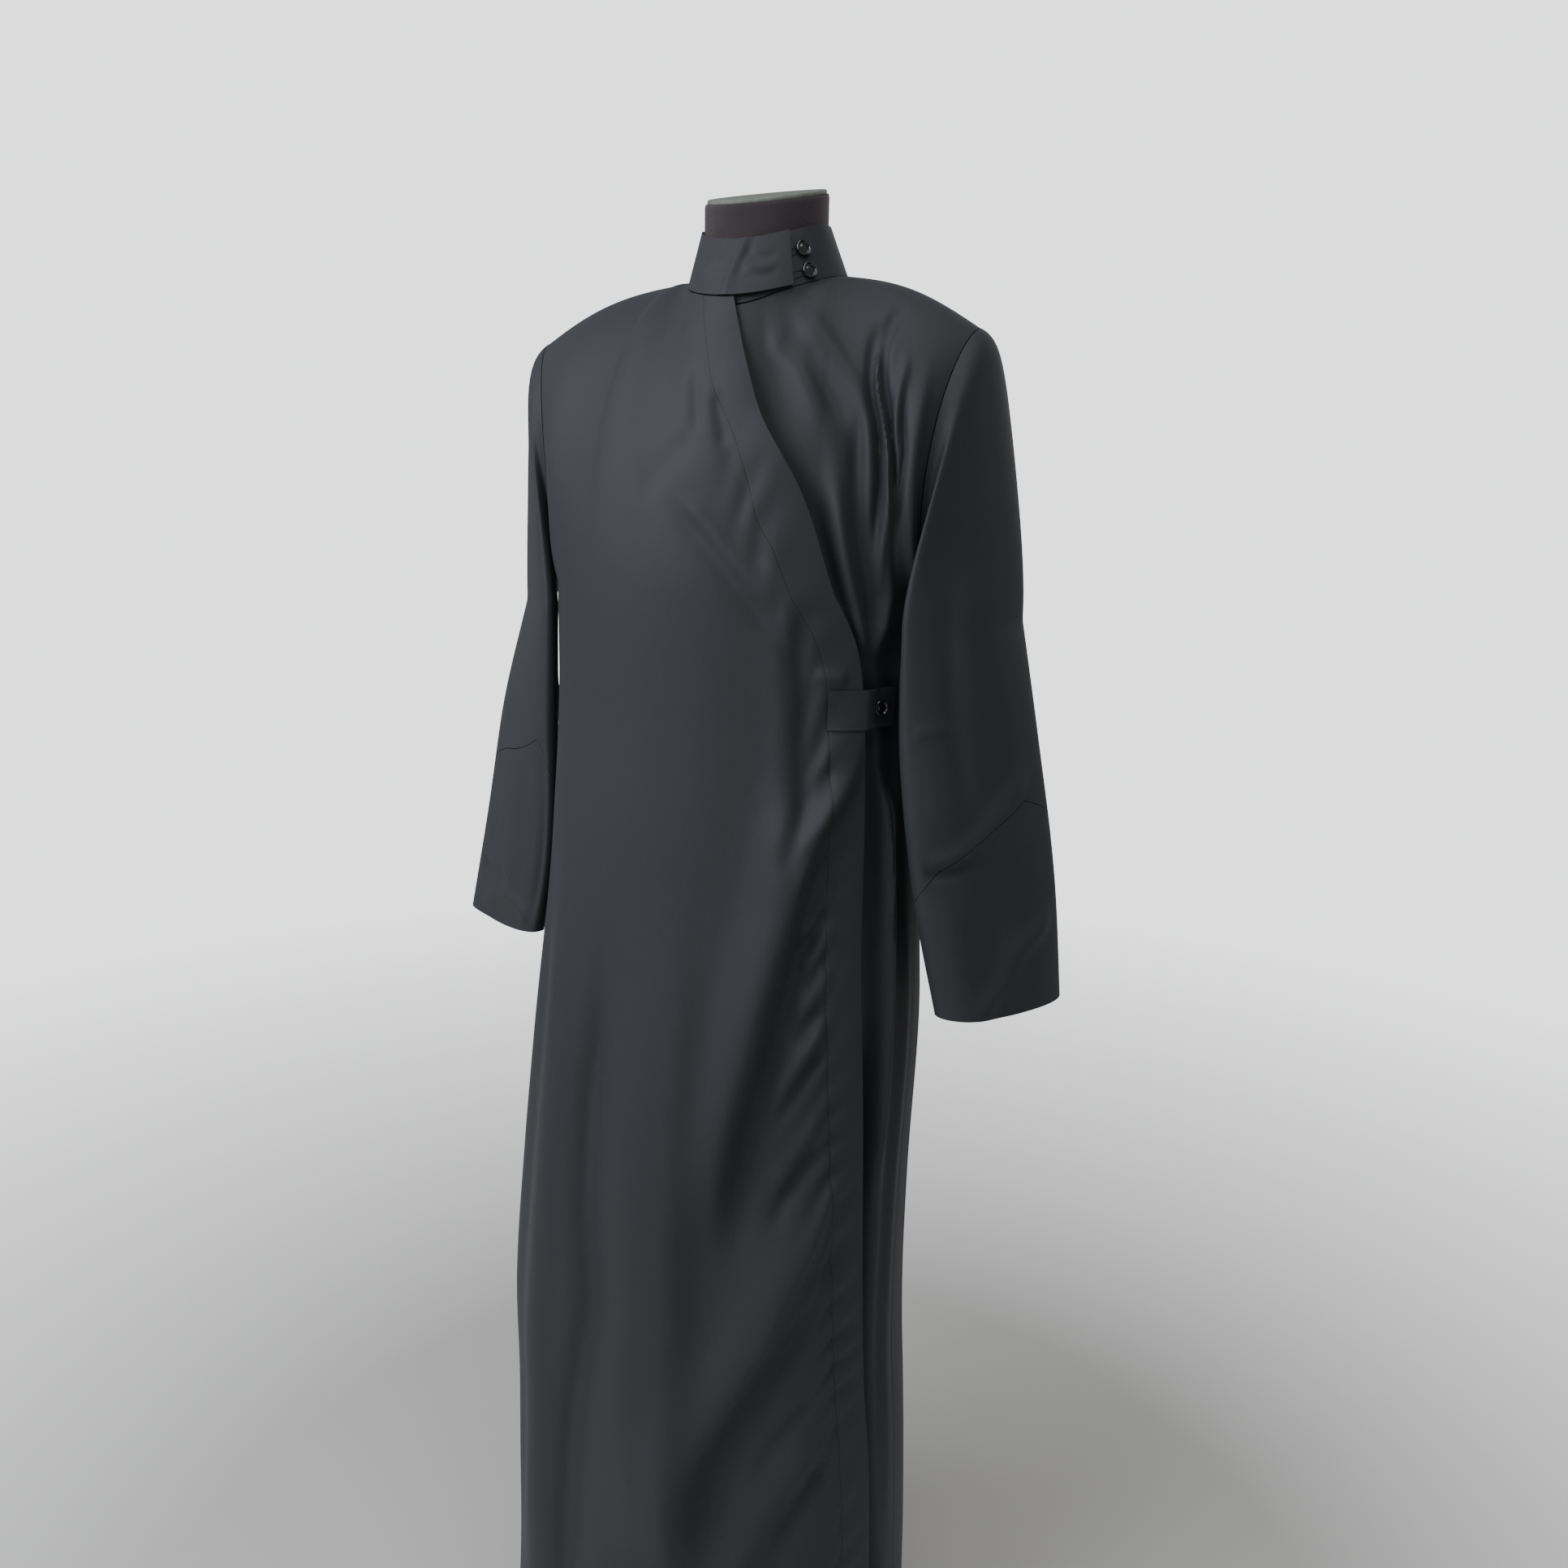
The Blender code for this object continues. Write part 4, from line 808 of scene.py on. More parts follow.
def left_front_place(column, row):
    level = row_level(row)
    start = under_edge(level)
    covered = start + (COVERED_END - start) * column / COVERED_COLUMNS
    share = (column - COVERED_COLUMNS) / (1.0 - COVERED_COLUMNS)
    across = np.where(column < COVERED_COLUMNS, covered,
                      COVERED_END + (1.0 - SEAM_SHARE - COVERED_END) * share)
    return under_points(across, level - neck_wedge(across, level)), flat_cut(across, level)


left_front = cloth("left_front_panel", "front_left", left_front_place, columns=110, rows=316)

# ---------------------------------------------------------------- back
# One wide panel without a middle seam. It falls from the shoulders in long even flutes that
# open toward the hem.
BACK_CREASES = [
    # the long flutes
    Crease(0.034, 0.0110, 0.0, [(-0.420, 1.250), (-0.500, 0.800), (-0.555, 0.350), (-0.580, -0.100)]),
    Crease(0.036, -0.0095, 0.0, [(-0.200, 1.050), (-0.235, 0.650), (-0.262, 0.300),
                                 (-0.270, -0.100)]),
    Crease(0.034, 0.0120, 0.0, [(0.020, 1.300), (0.035, 0.800), (0.025, 0.350), (0.036, -0.100)]),
    Crease(0.036, -0.0095, 0.0, [(0.240, 1.100), (0.280, 0.700), (0.305, 0.300), (0.325, -0.100)]),
    Crease(0.034, 0.0110, 0.0, [(0.460, 1.220), (0.545, 0.800), (0.600, 0.350), (0.635, -0.100)]),
    Crease(0.030, -0.0055, 0.0, [(-0.450, 1.500), (-0.300, 1.300), (-0.220, 1.100)]),
    Crease(0.030, -0.0055, 0.0, [(0.460, 1.500), (0.300, 1.300), (0.240, 1.100)]),
    # finer creases between them
    Crease(0.012, -0.0030, 0.3, [(-0.70, 1.47), (-0.52, 1.39), (-0.30, 1.34)]),
    Crease(0.012, 0.0028, 0.0, [(-0.76, 1.43), (-0.58, 1.34), (-0.42, 1.26)]),
    Crease(0.012, -0.0030, -0.3, [(0.72, 1.48), (0.56, 1.40), (0.36, 1.35)]),
    Crease(0.011, 0.0026, 0.0, [(0.80, 1.42), (0.62, 1.33), (0.50, 1.24)]),
    Crease(0.014, 0.0030, 0.0, [(-0.44, 1.22), (-0.48, 0.98), (-0.44, 0.70), (-0.46, 0.40)]),
    Crease(0.012, -0.0030, 0.0, [(-0.12, 1.30), (-0.14, 1.02), (-0.10, 0.74), (-0.12, 0.30)]),
    Crease(0.013, 0.0026, 0.0, [(0.16, 1.18), (0.20, 0.92), (0.17, 0.62), (0.19, 0.20)]),
    Crease(0.012, -0.0030, 0.0, [(0.46, 1.10), (0.50, 0.86), (0.47, 0.50), (0.50, 0.14)]),
    Crease(0.014, 0.0030, 0.0, [(0.80, 1.05), (0.82, 0.72), (0.80, 0.36)]),
    Crease(0.012, -0.0026, 0.0, [(-0.80, 1.00), (-0.77, 0.70), (-0.80, 0.30)]),
    Crease(0.010, 0.0018, 0.0, [(-0.20, 1.56), (-0.05, 1.50), (0.12, 1.53)]),
]


def back_place(column, row):
    level = row_level(row)
    across = (1.0 - SEAM_SHARE) * (2.0 * column - 1.0)
    lift = crease_lift(BACK_CREASES, across * QUARTER_GIRTH, level) * seam_hold(across, level)
    return surface_points(BACK, across, level, lift), flat_cut(across, level)


back = cloth("back_panel", "back", back_place, columns=140, rows=210, way=-1)

# ---------------------------------------------------------------- sleeves
# Wide straight sleeves in two lengths, joined by a peaked seam below the elbow. The head is set
# into the armhole, and the empty sleeve hangs flat with a soft fold along each side.
SleeveRow = namedtuple("SleeveRow", "height out_x y half_long half_short turn")
SLEEVE_ROWS = {
    LEFT: [
        SleeveRow(1.325, 0.235, 0.012, 0.104, 0.017, 70.0),
        SleeveRow(1.200, 0.253, 0.008, 0.102, 0.026, 63.0),
        SleeveRow(1.060, 0.281, -0.002, 0.098, 0.030, 60.0),
        SleeveRow(0.930, 0.309, -0.011, 0.087, 0.031, 62.0),
    ],
    RIGHT: [
        SleeveRow(1.325, 0.2560, 0.022, 0.104, 0.020, 53.0),
        SleeveRow(1.200, 0.2738, 0.024, 0.100, 0.026, 44.0),
        SleeveRow(1.060, 0.2852, 0.020, 0.098, 0.028, 37.5),
        SleeveRow(0.930, 0.3040, 0.016, 0.088, 0.029, 33.0),
    ],
}
SLEEVE_SEAT = 0.0008
SLEEVE_SQUARE = {LEFT: 0.92, RIGHT: 0.76}      # under 1 the flat tube has squarer sides
SLEEVE_OUTER = {LEFT: 0.98, RIGHT: 0.62}       # how full it is on its outer side
SLEEVE_INNER = {LEFT: 0.98, RIGHT: 0.72}
CAP_BASE = SLEEVE_ROWS[LEFT][0].height
CAP_SHARE = 0.55
CAP_ROLL = 0.100
CAP_FALL = 2.2
PIT_ROLL = 0.030
CAP_SLOPE = 0.55             # the sleeve head first goes on along the shoulder's fall
CAP_TURN_IN = {LEFT: 0.50, RIGHT: 1.50}      # and turns in below, behind the body's edge
TURN_IN_BELOW = Ramp(-0.8, 0.4)
CUFF_HEIGHT = 0.946
CUFF_TILT = 0.007
CHEVRON_APEX = {LEFT: 1.150, RIGHT: 1.180}
CHEVRON_DROP = 0.085
CHEVRON_TURN = {LEFT: 67.0, RIGHT: 142.0}
CHEVRON_STEEP = {LEFT: 1.5, RIGHT: 2.1}        # how much faster it falls toward the front
SLEEVE_GIRTH = 0.42          # cloth once round a sleeve
# A sleeve's creases run along (turn, height) places, in turns of 360 degrees.
SLEEVE_CREASES = {
    LEFT: [
        # a full front edge, and a flatter lane behind it
        Crease(0.030, 0.0080, 0.0, [(0.350, 1.400), (0.360, 1.320), (0.360, 1.240), (0.360, 1.160),
                                    (0.365, 1.090)]),
        Crease(0.022, -0.0060, 0.0, [(0.280, 1.360), (0.275, 1.290), (0.270, 1.220),
                                     (0.265, 1.150), (0.260, 1.110)]),
        Crease(0.020, 0.0050, 0.0, [(0.385, 1.090), (0.385, 1.030), (0.385, 0.960), (0.385, 0.900)]),
        Crease(0.018, -0.0045, 0.0, [(0.275, 1.110), (0.285, 1.060), (0.290, 1.000),
                                     (0.295, 0.950)]),
        # soft folds that bow above and below the peaked seam
        Crease(0.010, 0.0050, 0.0, [(0.170, 1.190), (0.195, 1.170), (0.235, 1.148), (0.280, 1.131),
                                    (0.340, 1.113), (0.405, 1.104), (0.450, 1.103)]),
        Crease(0.006, -0.0045, 0.0, [(0.290, 1.104), (0.327, 1.098), (0.370, 1.095),
                                     (0.417, 1.095), (0.460, 1.098)]),
        Crease(0.005, 0.0018, 0.0, [(0.450, 1.226), (0.417, 1.231), (0.380, 1.232), (0.340, 1.230)]),
        Crease(0.011, 0.0060, 0.0, [(0.380, 0.940), (0.330, 0.966), (0.277, 0.985), (0.250, 1.007),
                                    (0.180, 1.024), (0.130, 1.045)]),
        # on the hidden inner side
        Crease(0.012, 0.0024, 0.0, [(0.550, 1.300), (0.660, 1.220), (0.780, 1.140)]),
        Crease(0.010, -0.0026, 0.0, [(0.580, 1.120), (0.700, 1.090), (0.820, 1.100)]),
        Crease(0.012, 0.0022, 0.0, [(0.600, 1.040), (0.740, 1.000), (0.860, 1.010)]),
    ],
    RIGHT: [
        Crease(0.014, -0.0040, 0.0, [(0.420, 1.200), (0.432, 1.150), (0.440, 1.090),
                                     (0.440, 1.010), (0.435, 0.950)]),
        Crease(0.020, 0.0030, 0.0, [(0.260, 1.180), (0.270, 1.110), (0.280, 1.030), (0.290, 0.960)]),
        Crease(0.008, 0.0034, 0.0, [(0.190, 0.955), (0.240, 0.972), (0.300, 0.984), (0.370, 0.976),
                                    (0.420, 0.952)]),
        Crease(0.008, -0.0036, 0.0, [(0.150, 1.010), (0.190, 1.001), (0.240, 0.999), (0.290, 1.008)]),
        # on the hidden inner side
        Crease(0.012, 0.0022, 0.0, [(0.580, 1.250), (0.690, 1.190), (0.800, 1.160)]),
        Crease(0.010, -0.0022, 0.0, [(0.600, 1.120), (0.720, 1.090), (0.840, 1.110)]),
        Crease(0.012, 0.0020, 0.0, [(0.580, 1.050), (0.720, 1.020), (0.840, 0.990)]),
    ],
}


def squared(value, power):
    return np.sign(value) * np.abs(value) ** power


def sleeve_ring_points(flank, turn, height):
    rows = SLEEVE_ROWS[flank]
    angle = np.radians(turn)
    lay = np.radians(read(rows, height, "turn"))
    power = SLEEVE_SQUARE[flank]
    full = np.where(np.sin(angle) > 0.0, SLEEVE_OUTER[flank], SLEEVE_INNER[flank])
    long_reach = read(rows, height, "half_long") * squared(np.cos(angle), power)
    short_reach = read(rows, height, "half_short") * squared(np.sin(angle), power) * full
    centre_x = read(SECTIONS, height, "centre_x") + flank * read(rows, height, "out_x")
    return stacked(centre_x + flank * (np.cos(lay) * long_reach + np.sin(lay) * short_reach),
                   read(rows, height, "y") + np.sin(lay) * long_reach
                   - np.cos(lay) * short_reach, height)


def sleeve_cap_points(flank, turn, share):
    """From the armhole the sleeve goes outward and then turns down."""
    start = armhole_points(flank, turn) + (flank * SLEEVE_SEAT, 0.0, 0.0)
    end = sleeve_ring_points(flank, turn, CAP_BASE)
    upper = 0.5 + 0.5 * np.sin(np.radians(turn))
    roll = PIT_ROLL + (CAP_ROLL - PIT_ROLL) * upper
    turn_in = CAP_TURN_IN[flank] * roll * ramp(-upper, TURN_IN_BELOW)
    start_way = stacked(flank * roll, -turn_in * np.cos(np.radians(turn)),
                        -CAP_SLOPE * roll * upper ** 2)
    end_way = stacked(0.0, 0.0, (CAP_BASE - start[..., 2]) * (1.0 + (CAP_FALL - 1.0) * upper))
    return bent(start, start_way, end, end_way, share[..., None])


def chevron_height(flank, turn):
    away = (turn - CHEVRON_TURN[flank] + 180.0) % 360.0 - 180.0
    away = np.where(away > 0.0, away * CHEVRON_STEEP[flank], -away)
    return CHEVRON_APEX[flank] - CHEVRON_DROP * np.minimum(away, 180.0) / 180.0


def upper_sleeve_points(flank, turn, row):
    low = chevron_height(flank, turn) + SEAM_GAP
    share = np.clip((row - CAP_SHARE) / (1.0 - CAP_SHARE), 0.0, 1.0)
    arm = sleeve_ring_points(flank, turn, CAP_BASE + (low - CAP_BASE) * share)
    cap = sleeve_cap_points(flank, turn, np.clip(row / CAP_SHARE, 0.0, 1.0))
    return np.where((row < CAP_SHARE)[..., None], cap, arm)


def lower_sleeve_points(flank, turn, row):
    high = chevron_height(flank, turn) - 1.5 * SEAM_GAP
    low = CUFF_HEIGHT - CUFF_TILT * np.cos(np.radians(turn))
    return sleeve_ring_points(flank, turn, high + (low - high) * row)


def sleeve_place(flank, points_at):
    """Bends a sleeve's grid and raises its creases square to the surface."""
    def place(column, row):
        turn = 360.0 * column
        points = points_at(flank, turn, row)
        along = points_at(flank, turn + 1.0, row) - points_at(flank, turn - 1.0, row)
        upward = (points_at(flank, turn, np.clip(row - STEP, 0.0, 1.0))
                  - points_at(flank, turn, np.clip(row + STEP, 0.0, 1.0)))
        outward = unit(np.cross(upward, along)) * flank
        cut = np.stack((column * SLEEVE_GIRTH, points[..., 2]), axis=-1)
        lift = crease_lift(SLEEVE_CREASES[flank], cut[..., 0], cut[..., 1], SLEEVE_GIRTH)
        return points + outward * lift[..., None], cut
    return place


for flank, word in ((RIGHT, "right"), (LEFT, "left")):
    upper_sleeve = cloth(f"{word}_upper_sleeve", f"sleeve_{word}_upper",
                         sleeve_place(flank, upper_sleeve_points), columns=128, rows=110,
                         way=flank, closed=True)
    lower_sleeve = cloth(f"{word}_lower_sleeve", f"sleeve_{word}_lower",
                         sleeve_place(flank, lower_sleeve_points), columns=128, rows=44,
                         way=flank, closed=True)

# ---------------------------------------------------------------- stand collar
# An interlined stand that leans in toward the neck. It starts under the middle front, goes all
# round and laps over itself, and the flap's end buttons on the wearer's left.
COLLAR_CLOTH = 0.0020
COLLAR_TOP_HALF_WIDTH = 0.0625
COLLAR_TOP_DEPTH = 0.0640
COLLAR_FRONT_HEIGHT = 0.052
COLLAR_SIDE_HEIGHT = 0.044
COLLAR_BACK_HEIGHT = 0.046
COLLAR_START = -8.0
COLLAR_FLAP = 41.0
COLLAR_SEAT = 0.0006
COLLAR_LAP = 0.0034
LAP = Ramp(300.0, 45.0)      # degrees round the neck over which the flap comes to lie outside
UNDER_END = Ramp(-44.0, 40.0)
COLLAR_GIRTH = 0.47
# The collar's creases run along (turns of 360 degrees, height up the stand) places.
COLLAR_CREASES = [
    Crease(0.0050, 0.0026, 0.35, [(1.022, 0.052), (1.012, 0.038), (0.999, 0.022), (0.990, 0.008),
                                  (0.985, -0.008)]),
    Crease(0.0050, -0.0016, 0.0, [(1.036, 0.048), (1.026, 0.036), (1.014, 0.022), (1.006, 0.006)]),
    Crease(0.0034, -0.0010, 0.0, [(1.015, 0.033), (1.050, 0.027), (1.090, 0.026)]),
    Crease(0.0034, 0.0010, 0.0, [(1.010, 0.024), (1.050, 0.020), (1.090, 0.019)]),
    Crease(0.0034, -0.0010, 0.0, [(1.015, 0.014), (1.050, 0.012), (1.090, 0.012)]),
    Crease(0.0070, 0.0014, 0.0, [(0.900, 0.010), (0.940, 0.024), (0.975, 0.032)]),
]


def neckline_points(degrees):
    """The neckline; 0 is the middle front and 90 the wearer's left side."""
    degrees = (degrees + 180.0) % 360.0 - 180.0
    ahead = top_points(FRONT, np.clip(degrees / 90.0, -1.0, 1.0) * NECK_SHARE)
    behind = top_points(BACK, flanks(degrees) * (180.0 - np.abs(degrees)) / 90.0 * NECK_SHARE)
    return np.where((np.abs(degrees) <= 90.0)[..., None], ahead, behind)


def collar_points(degrees, rise, lift=0.0):
    turn = np.radians(degrees)
    around = stacked(np.sin(turn), -np.cos(turn), 0.0)
    lapped = ramp(degrees, LAP)
    under_end = ramp(-degrees, UNDER_END)
    base = neckline_points(degrees)
    base[..., 2] += COLLAR_SEAT + NECK_LIFT * lapped - WEDGE_DROP * under_end
    front = np.clip(np.cos(turn), 0.0, 1.0)
    rear = np.clip(-np.cos(turn), 0.0, 1.0)
    stand = (COLLAR_SIDE_HEIGHT + (COLLAR_FRONT_HEIGHT - COLLAR_SIDE_HEIGHT) * front
             + (COLLAR_BACK_HEIGHT - COLLAR_SIDE_HEIGHT) * rear + WEDGE_DROP * under_end)
    top = stacked(NECK_CENTRE_X + COLLAR_TOP_HALF_WIDTH * np.sin(turn),
                  -COLLAR_TOP_DEPTH * np.cos(turn), base[..., 2] + stand)
    rise = np.asarray(rise)[..., None]
    out = np.asarray(COLLAR_LAP * lapped + lift)[..., None]
    return base * (1.0 - rise) + top * rise + around * out


def collar_place(column, row):
    degrees = COLLAR_START + (360.0 + COLLAR_FLAP - COLLAR_START) * column
    cut = np.stack((degrees / 360.0 * COLLAR_GIRTH, row * COLLAR_SIDE_HEIGHT), axis=-1)
    lift = crease_lift(COLLAR_CREASES, cut[..., 0], cut[..., 1], COLLAR_GIRTH)
    return collar_points(degrees, row, lift), cut


collar = cloth("stand_collar", "collar", collar_place, columns=240, rows=28,
               thickness=COLLAR_CLOTH)

# ---------------------------------------------------------------- waist tab
# A short doubled strap sewn into the band's seam at the waist. It buttons on the left front and
# holds the wrap closed.
TAB_LEVEL = 1.248
TAB_HEIGHT = 0.038
TAB_END_ACROSS = 0.765
TAB_CLOTH = 0.0015
TAB_COMES_DOWN = Ramp(0.008, 0.080)
TAB_END_LIFT = -0.0030       # its end is pulled in a little


def tab_across(column):
    """The strap's way across the front, from the band's seam to its own end."""
    start = over_edge(TAB_LEVEL) - band_share(np.array([TAB_LEVEL]))[0]
    return start + (TAB_END_ACROSS - start) * column


def tab_points(column, row):
    """The strap lies close on the band's waves, and past its edge bends into the hollow."""
    across, level = np.broadcast_arrays(tab_across(column), TAB_LEVEL + TAB_HEIGHT * (row - 0.5))
    past = ramp(across - over_edge(TAB_LEVEL), TAB_COMES_DOWN)
    on_band = over_lift(np.minimum(across, over_edge(level)), level) + TAB_CLOTH + SEAM_GAP
    return surface_points(FRONT, across, level, on_band + (TAB_END_LIFT - on_band) * past)


def tab_place(column, row):
    return tab_points(column, row), flat_cut(tab_across(column), TAB_HEIGHT * row)


waist_tab = cloth("waist_strap", "waist_tab", tab_place, columns=40, rows=14,
                  thickness=TAB_CLOTH)

# ---------------------------------------------------------------- stitching
# Close rows of black polyester thread: one along the inner edge of both bands, where they are
# sewn to the panel, and one round the waist strap.
STITCH_PITCH = 0.0030
STITCH_LENGTH = 0.0023
STITCH_HALF = 0.00021        # half a thread's width
STITCH_INSET = 0.0022        # from a seam or an edge
STITCHES_AT_ONCE = 40
BAND_LINE_STEP = 0.002       # between the places that the band's row is laid through
BAND_LINE_FROM_HEM = 0.003
BAND_LINE_FROM_TOP = 0.004
STRAP_LINE_PLACES = 40
TAB_SPAN = 0.0925            # the strap's length


def stitch_row(work, points, outward):
    """Lays stitches end to end along a run of points, each square to the cloth under it."""
    steps = np.linalg.norm(np.diff(points, axis=0), axis=1)
    walked = np.concatenate(([0.0], np.cumsum(steps)))
    stops = np.arange(STITCH_PITCH / 2.0, walked[-1], STITCH_PITCH)
    places = np.stack([np.interp(stops, walked, points[:, i]) for i in range(3)], axis=-1)
    ups = unit(np.stack([np.interp(stops, walked, outward[:, i]) for i in range(3)], axis=-1))
    ways = unit(np.gradient(places, axis=0))
    size = Matrix.Diagonal((STITCH_LENGTH / 2.0, STITCH_HALF, STITCH_HALF, 1.0))
    for first in range(0, len(places), STITCHES_AT_ONCE):
        few = slice(first, first + STITCHES_AT_ONCE)
        run = bmesh.new()
        for place, up, way in zip(places[few], ups[few], ways[few]):
            stand = Matrix((way, np.cross(up, way), up)).transposed().to_4x4()
            bmesh.ops.create_uvsphere(run, u_segments=6, v_segments=4, radius=1.0,
                                      matrix=Matrix.Translation(place) @ stand @ size)
        mesh = bpy.data.meshes.new("stitches")
        run.to_mesh(mesh)
        run.free()
        work.from_mesh(mesh)
        bpy.data.meshes.remove(mesh)


def thread_material():
    """Spun polyester thread: black, a little shinier than the cloth, with a fine twist."""
    material, nodes, links, shader = material_with("black_thread", 0.5, Sheen_Weight=0.2)
    place = nodes.new("ShaderNodeTexCoord")
    twist = nodes.new("ShaderNodeTexWave")
    twist.bands_direction = "DIAGONAL"
    twist.inputs["Scale"].default_value = 1500.0
    links.new(place.outputs["Object"], twist.inputs["Vector"])
    two_tones(nodes, links, shader, twist.outputs["Fac"], (0.010, 0.011, 0.012),
              (0.026, 0.028, 0.031))
    bump_from(nodes, links, shader, twist.outputs["Fac"], 0.4, 0.0001)
    return material


thread = thread_material()


def outward_of(points_at, first, second):
    """Which way a bent surface faces, from small steps of its two measures."""
    near = 0.002
    along = points_at(first + near, second) - points_at(first - near, second)
    upward = points_at(first, second + near) - points_at(first, second - near)
    return unit(np.cross(along, upward))


def band_line(level):
    return over_edge(level) - band_share(level) + STITCH_INSET / QUARTER_GIRTH


# The row stops under the strap and goes on above it.
band_runs = [(HEM_HEIGHT + BAND_LINE_FROM_HEM, TAB_LEVEL - TAB_HEIGHT / 2.0),
             (TAB_LEVEL + TAB_HEIGHT / 2.0, TOP_LEVEL - BAND_LINE_FROM_TOP)]
band_work = bmesh.new()
for low, high in band_runs:
    levels = np.arange(low, high, BAND_LINE_STEP)
    stitch_row(band_work, over_points(band_line(levels), levels),
               outward_of(over_points, band_line(levels), levels))
add_piece("band_stitching", band_work, thread)

tab_work = bmesh.new()
side_x, side_y = STITCH_INSET / TAB_SPAN, STITCH_INSET / TAB_HEIGHT
tab_runs = [((side_x, side_y), (1.0 - side_x, side_y)),
            ((1.0 - side_x, side_y), (1.0 - side_x, 1.0 - side_y)),
            ((1.0 - side_x, 1.0 - side_y), (side_x, 1.0 - side_y)),
            ((side_x, 1.0 - side_y), (side_x, side_y))]
for start, end in tab_runs:
    share = np.linspace(0.0, 1.0, STRAP_LINE_PLACES)
    column = start[0] + (end[0] - start[0]) * share
    row = start[1] + (end[1] - start[1]) * share
    stitch_row(tab_work, tab_points(column, row), outward_of(tab_points, column, row))
add_piece("strap_stitching", tab_work, thread)

# ---------------------------------------------------------------- buttons
# Three glossy black resin buttons with a raised rim and a low domed middle: two at the end of
# the collar's flap, held by short thread loops, and one through the waist strap.
BUTTON_RADIUS = 0.0080
BUTTON_STEPS = 48            # flats round its rim
BUTTON_PROFILE = [(0.0, 0.0031), (0.22, 0.0030), (0.42, 0.0026), (0.58, 0.0020), (0.66, 0.0021),
                  (0.73, 0.0034), (0.80, 0.0040), (0.88, 0.0039), (0.96, 0.0030), (1.0, 0.0019),
                  (0.94, 0.0008), (0.78, 0.0002), (0.50, 0.0), (0.0, 0.0)]
CollarButton = namedtuple("CollarButton", "name degrees rise")
COLLAR_BUTTONS = [
    CollarButton("collar_button_upper", 51.5, 0.62),
    CollarButton("collar_button_lower", 53.5, 0.20),
]
COLLAR_BUTTON_TILT = 0.24
TAB_BUTTON_SHARE = 0.74
LOOP_THREAD = 0.0007
LOOP_HALF = 0.0030           # half the gap between a loop's two strands
LOOP_PLACES = 25
LOOP_INSET = 0.6             # degrees inside the flap's end where it leaves the cloth
LOOP_PAST = 3.2              # degrees past the button's middle where it turns back
LOOP_POWER = 0.7
LOOP_SEAT = 0.9              # thread widths from the stand to the thread's middle


def button_material():
    """Black polyester resin: glossy, with faint cloudy streaks and hair-fine scratches."""
    material, nodes, links, shader = material_with("black_button", 0.10, Coat_Weight=0.6,
                                                   Coat_Roughness=0.05)
    cloud = noise(nodes, links, nodes.new("ShaderNodeTexCoord").outputs["Object"], 260.0, 4.0)
    two_tones(nodes, links, shader, cloud, (0.004, 0.004, 0.005), (0.014, 0.014, 0.015))
    roughness_from(nodes, links, shader, cloud, 0.06, 0.20)
    bump_from(nodes, links, shader, cloud, 0.12, 0.0001)
    return material


def turned_work(profile, steps, size=1.0):
    """A profile of (radius, height) turned all round +Z."""
    work = bmesh.new()
    corners = [work.verts.new((radius * size, 0.0, height)) for radius, height in profile]
    edges = [work.edges.new(pair) for pair in zip(corners, corners[1:])]
    bmesh.ops.spin(work, geom=corners + edges, cent=(0.0, 0.0, 0.0), axis=(0.0, 0.0, 1.0),
                   angle=2.0 * math.pi, steps=steps, use_merge=True)
    bmesh.ops.remove_doubles(work, verts=work.verts, dist=0.00001)
    bmesh.ops.recalc_face_normals(work, faces=work.faces)
    return work


gloss = button_material()


def add_button(name, seat, way):
    work = turned_work(BUTTON_PROFILE, BUTTON_STEPS, BUTTON_RADIUS)
    way = Vector(way).normalized()
    place = Matrix.Translation(Vector(seat) + way * SEAM_GAP)
    bmesh.ops.transform(work, matrix=place @ way.to_track_quat("Z", "Y").to_matrix().to_4x4(),
                        verts=work.verts)
    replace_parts(add_piece(name, work, gloss, 60.0), name)


for button in COLLAR_BUTTONS:
    turn = math.radians(button.degrees)
    add_button(button.name, collar_points(np.array([button.degrees]), button.rise)[0],
               (math.sin(turn), -math.cos(turn), COLLAR_BUTTON_TILT))
middle = np.array([0.5])
add_button("waist_button", tab_points(np.array([TAB_BUTTON_SHARE]), middle)[0],
           outward_of(tab_points, np.array([TAB_BUTTON_SHARE]), middle)[0])


def add_thread(name, places, radius):
    """A thin thread laid through a few places."""
    curve = bpy.data.curves.new(name, "CURVE")
    curve.dimensions = "3D"
    curve.bevel_depth = radius
    curve.bevel_resolution = 2
    curve.use_fill_caps = True
    run = curve.splines.new("POLY")
    run.points.add(len(places) - 1)
    for point, place in zip(run.points, places):
        point.co = (*place, 1.0)
    kept(name, curve, thread)


# Each loop leaves the flap's end and passes round its button's foot.
for button in COLLAR_BUTTONS:
    share = np.linspace(0.0, 1.0, LOOP_PLACES)
    swing = np.sin(share * math.pi)
    end = 360.0 + COLLAR_FLAP - LOOP_INSET
    degrees = end + (button.degrees + 360.0 + LOOP_PAST - end) * swing ** LOOP_POWER
    rise = button.rise + np.cos(share * math.pi) * LOOP_HALF / COLLAR_FRONT_HEIGHT
    onto = np.where(degrees > 360.0 + COLLAR_FLAP + LOOP_INSET, 0.0, 1.0)
    places = collar_points(degrees - 360.0, rise, LOOP_THREAD * LOOP_SEAT + COLLAR_LAP * onto)
    add_thread(f"{button.name}_loop", places, LOOP_THREAD / 2.0)

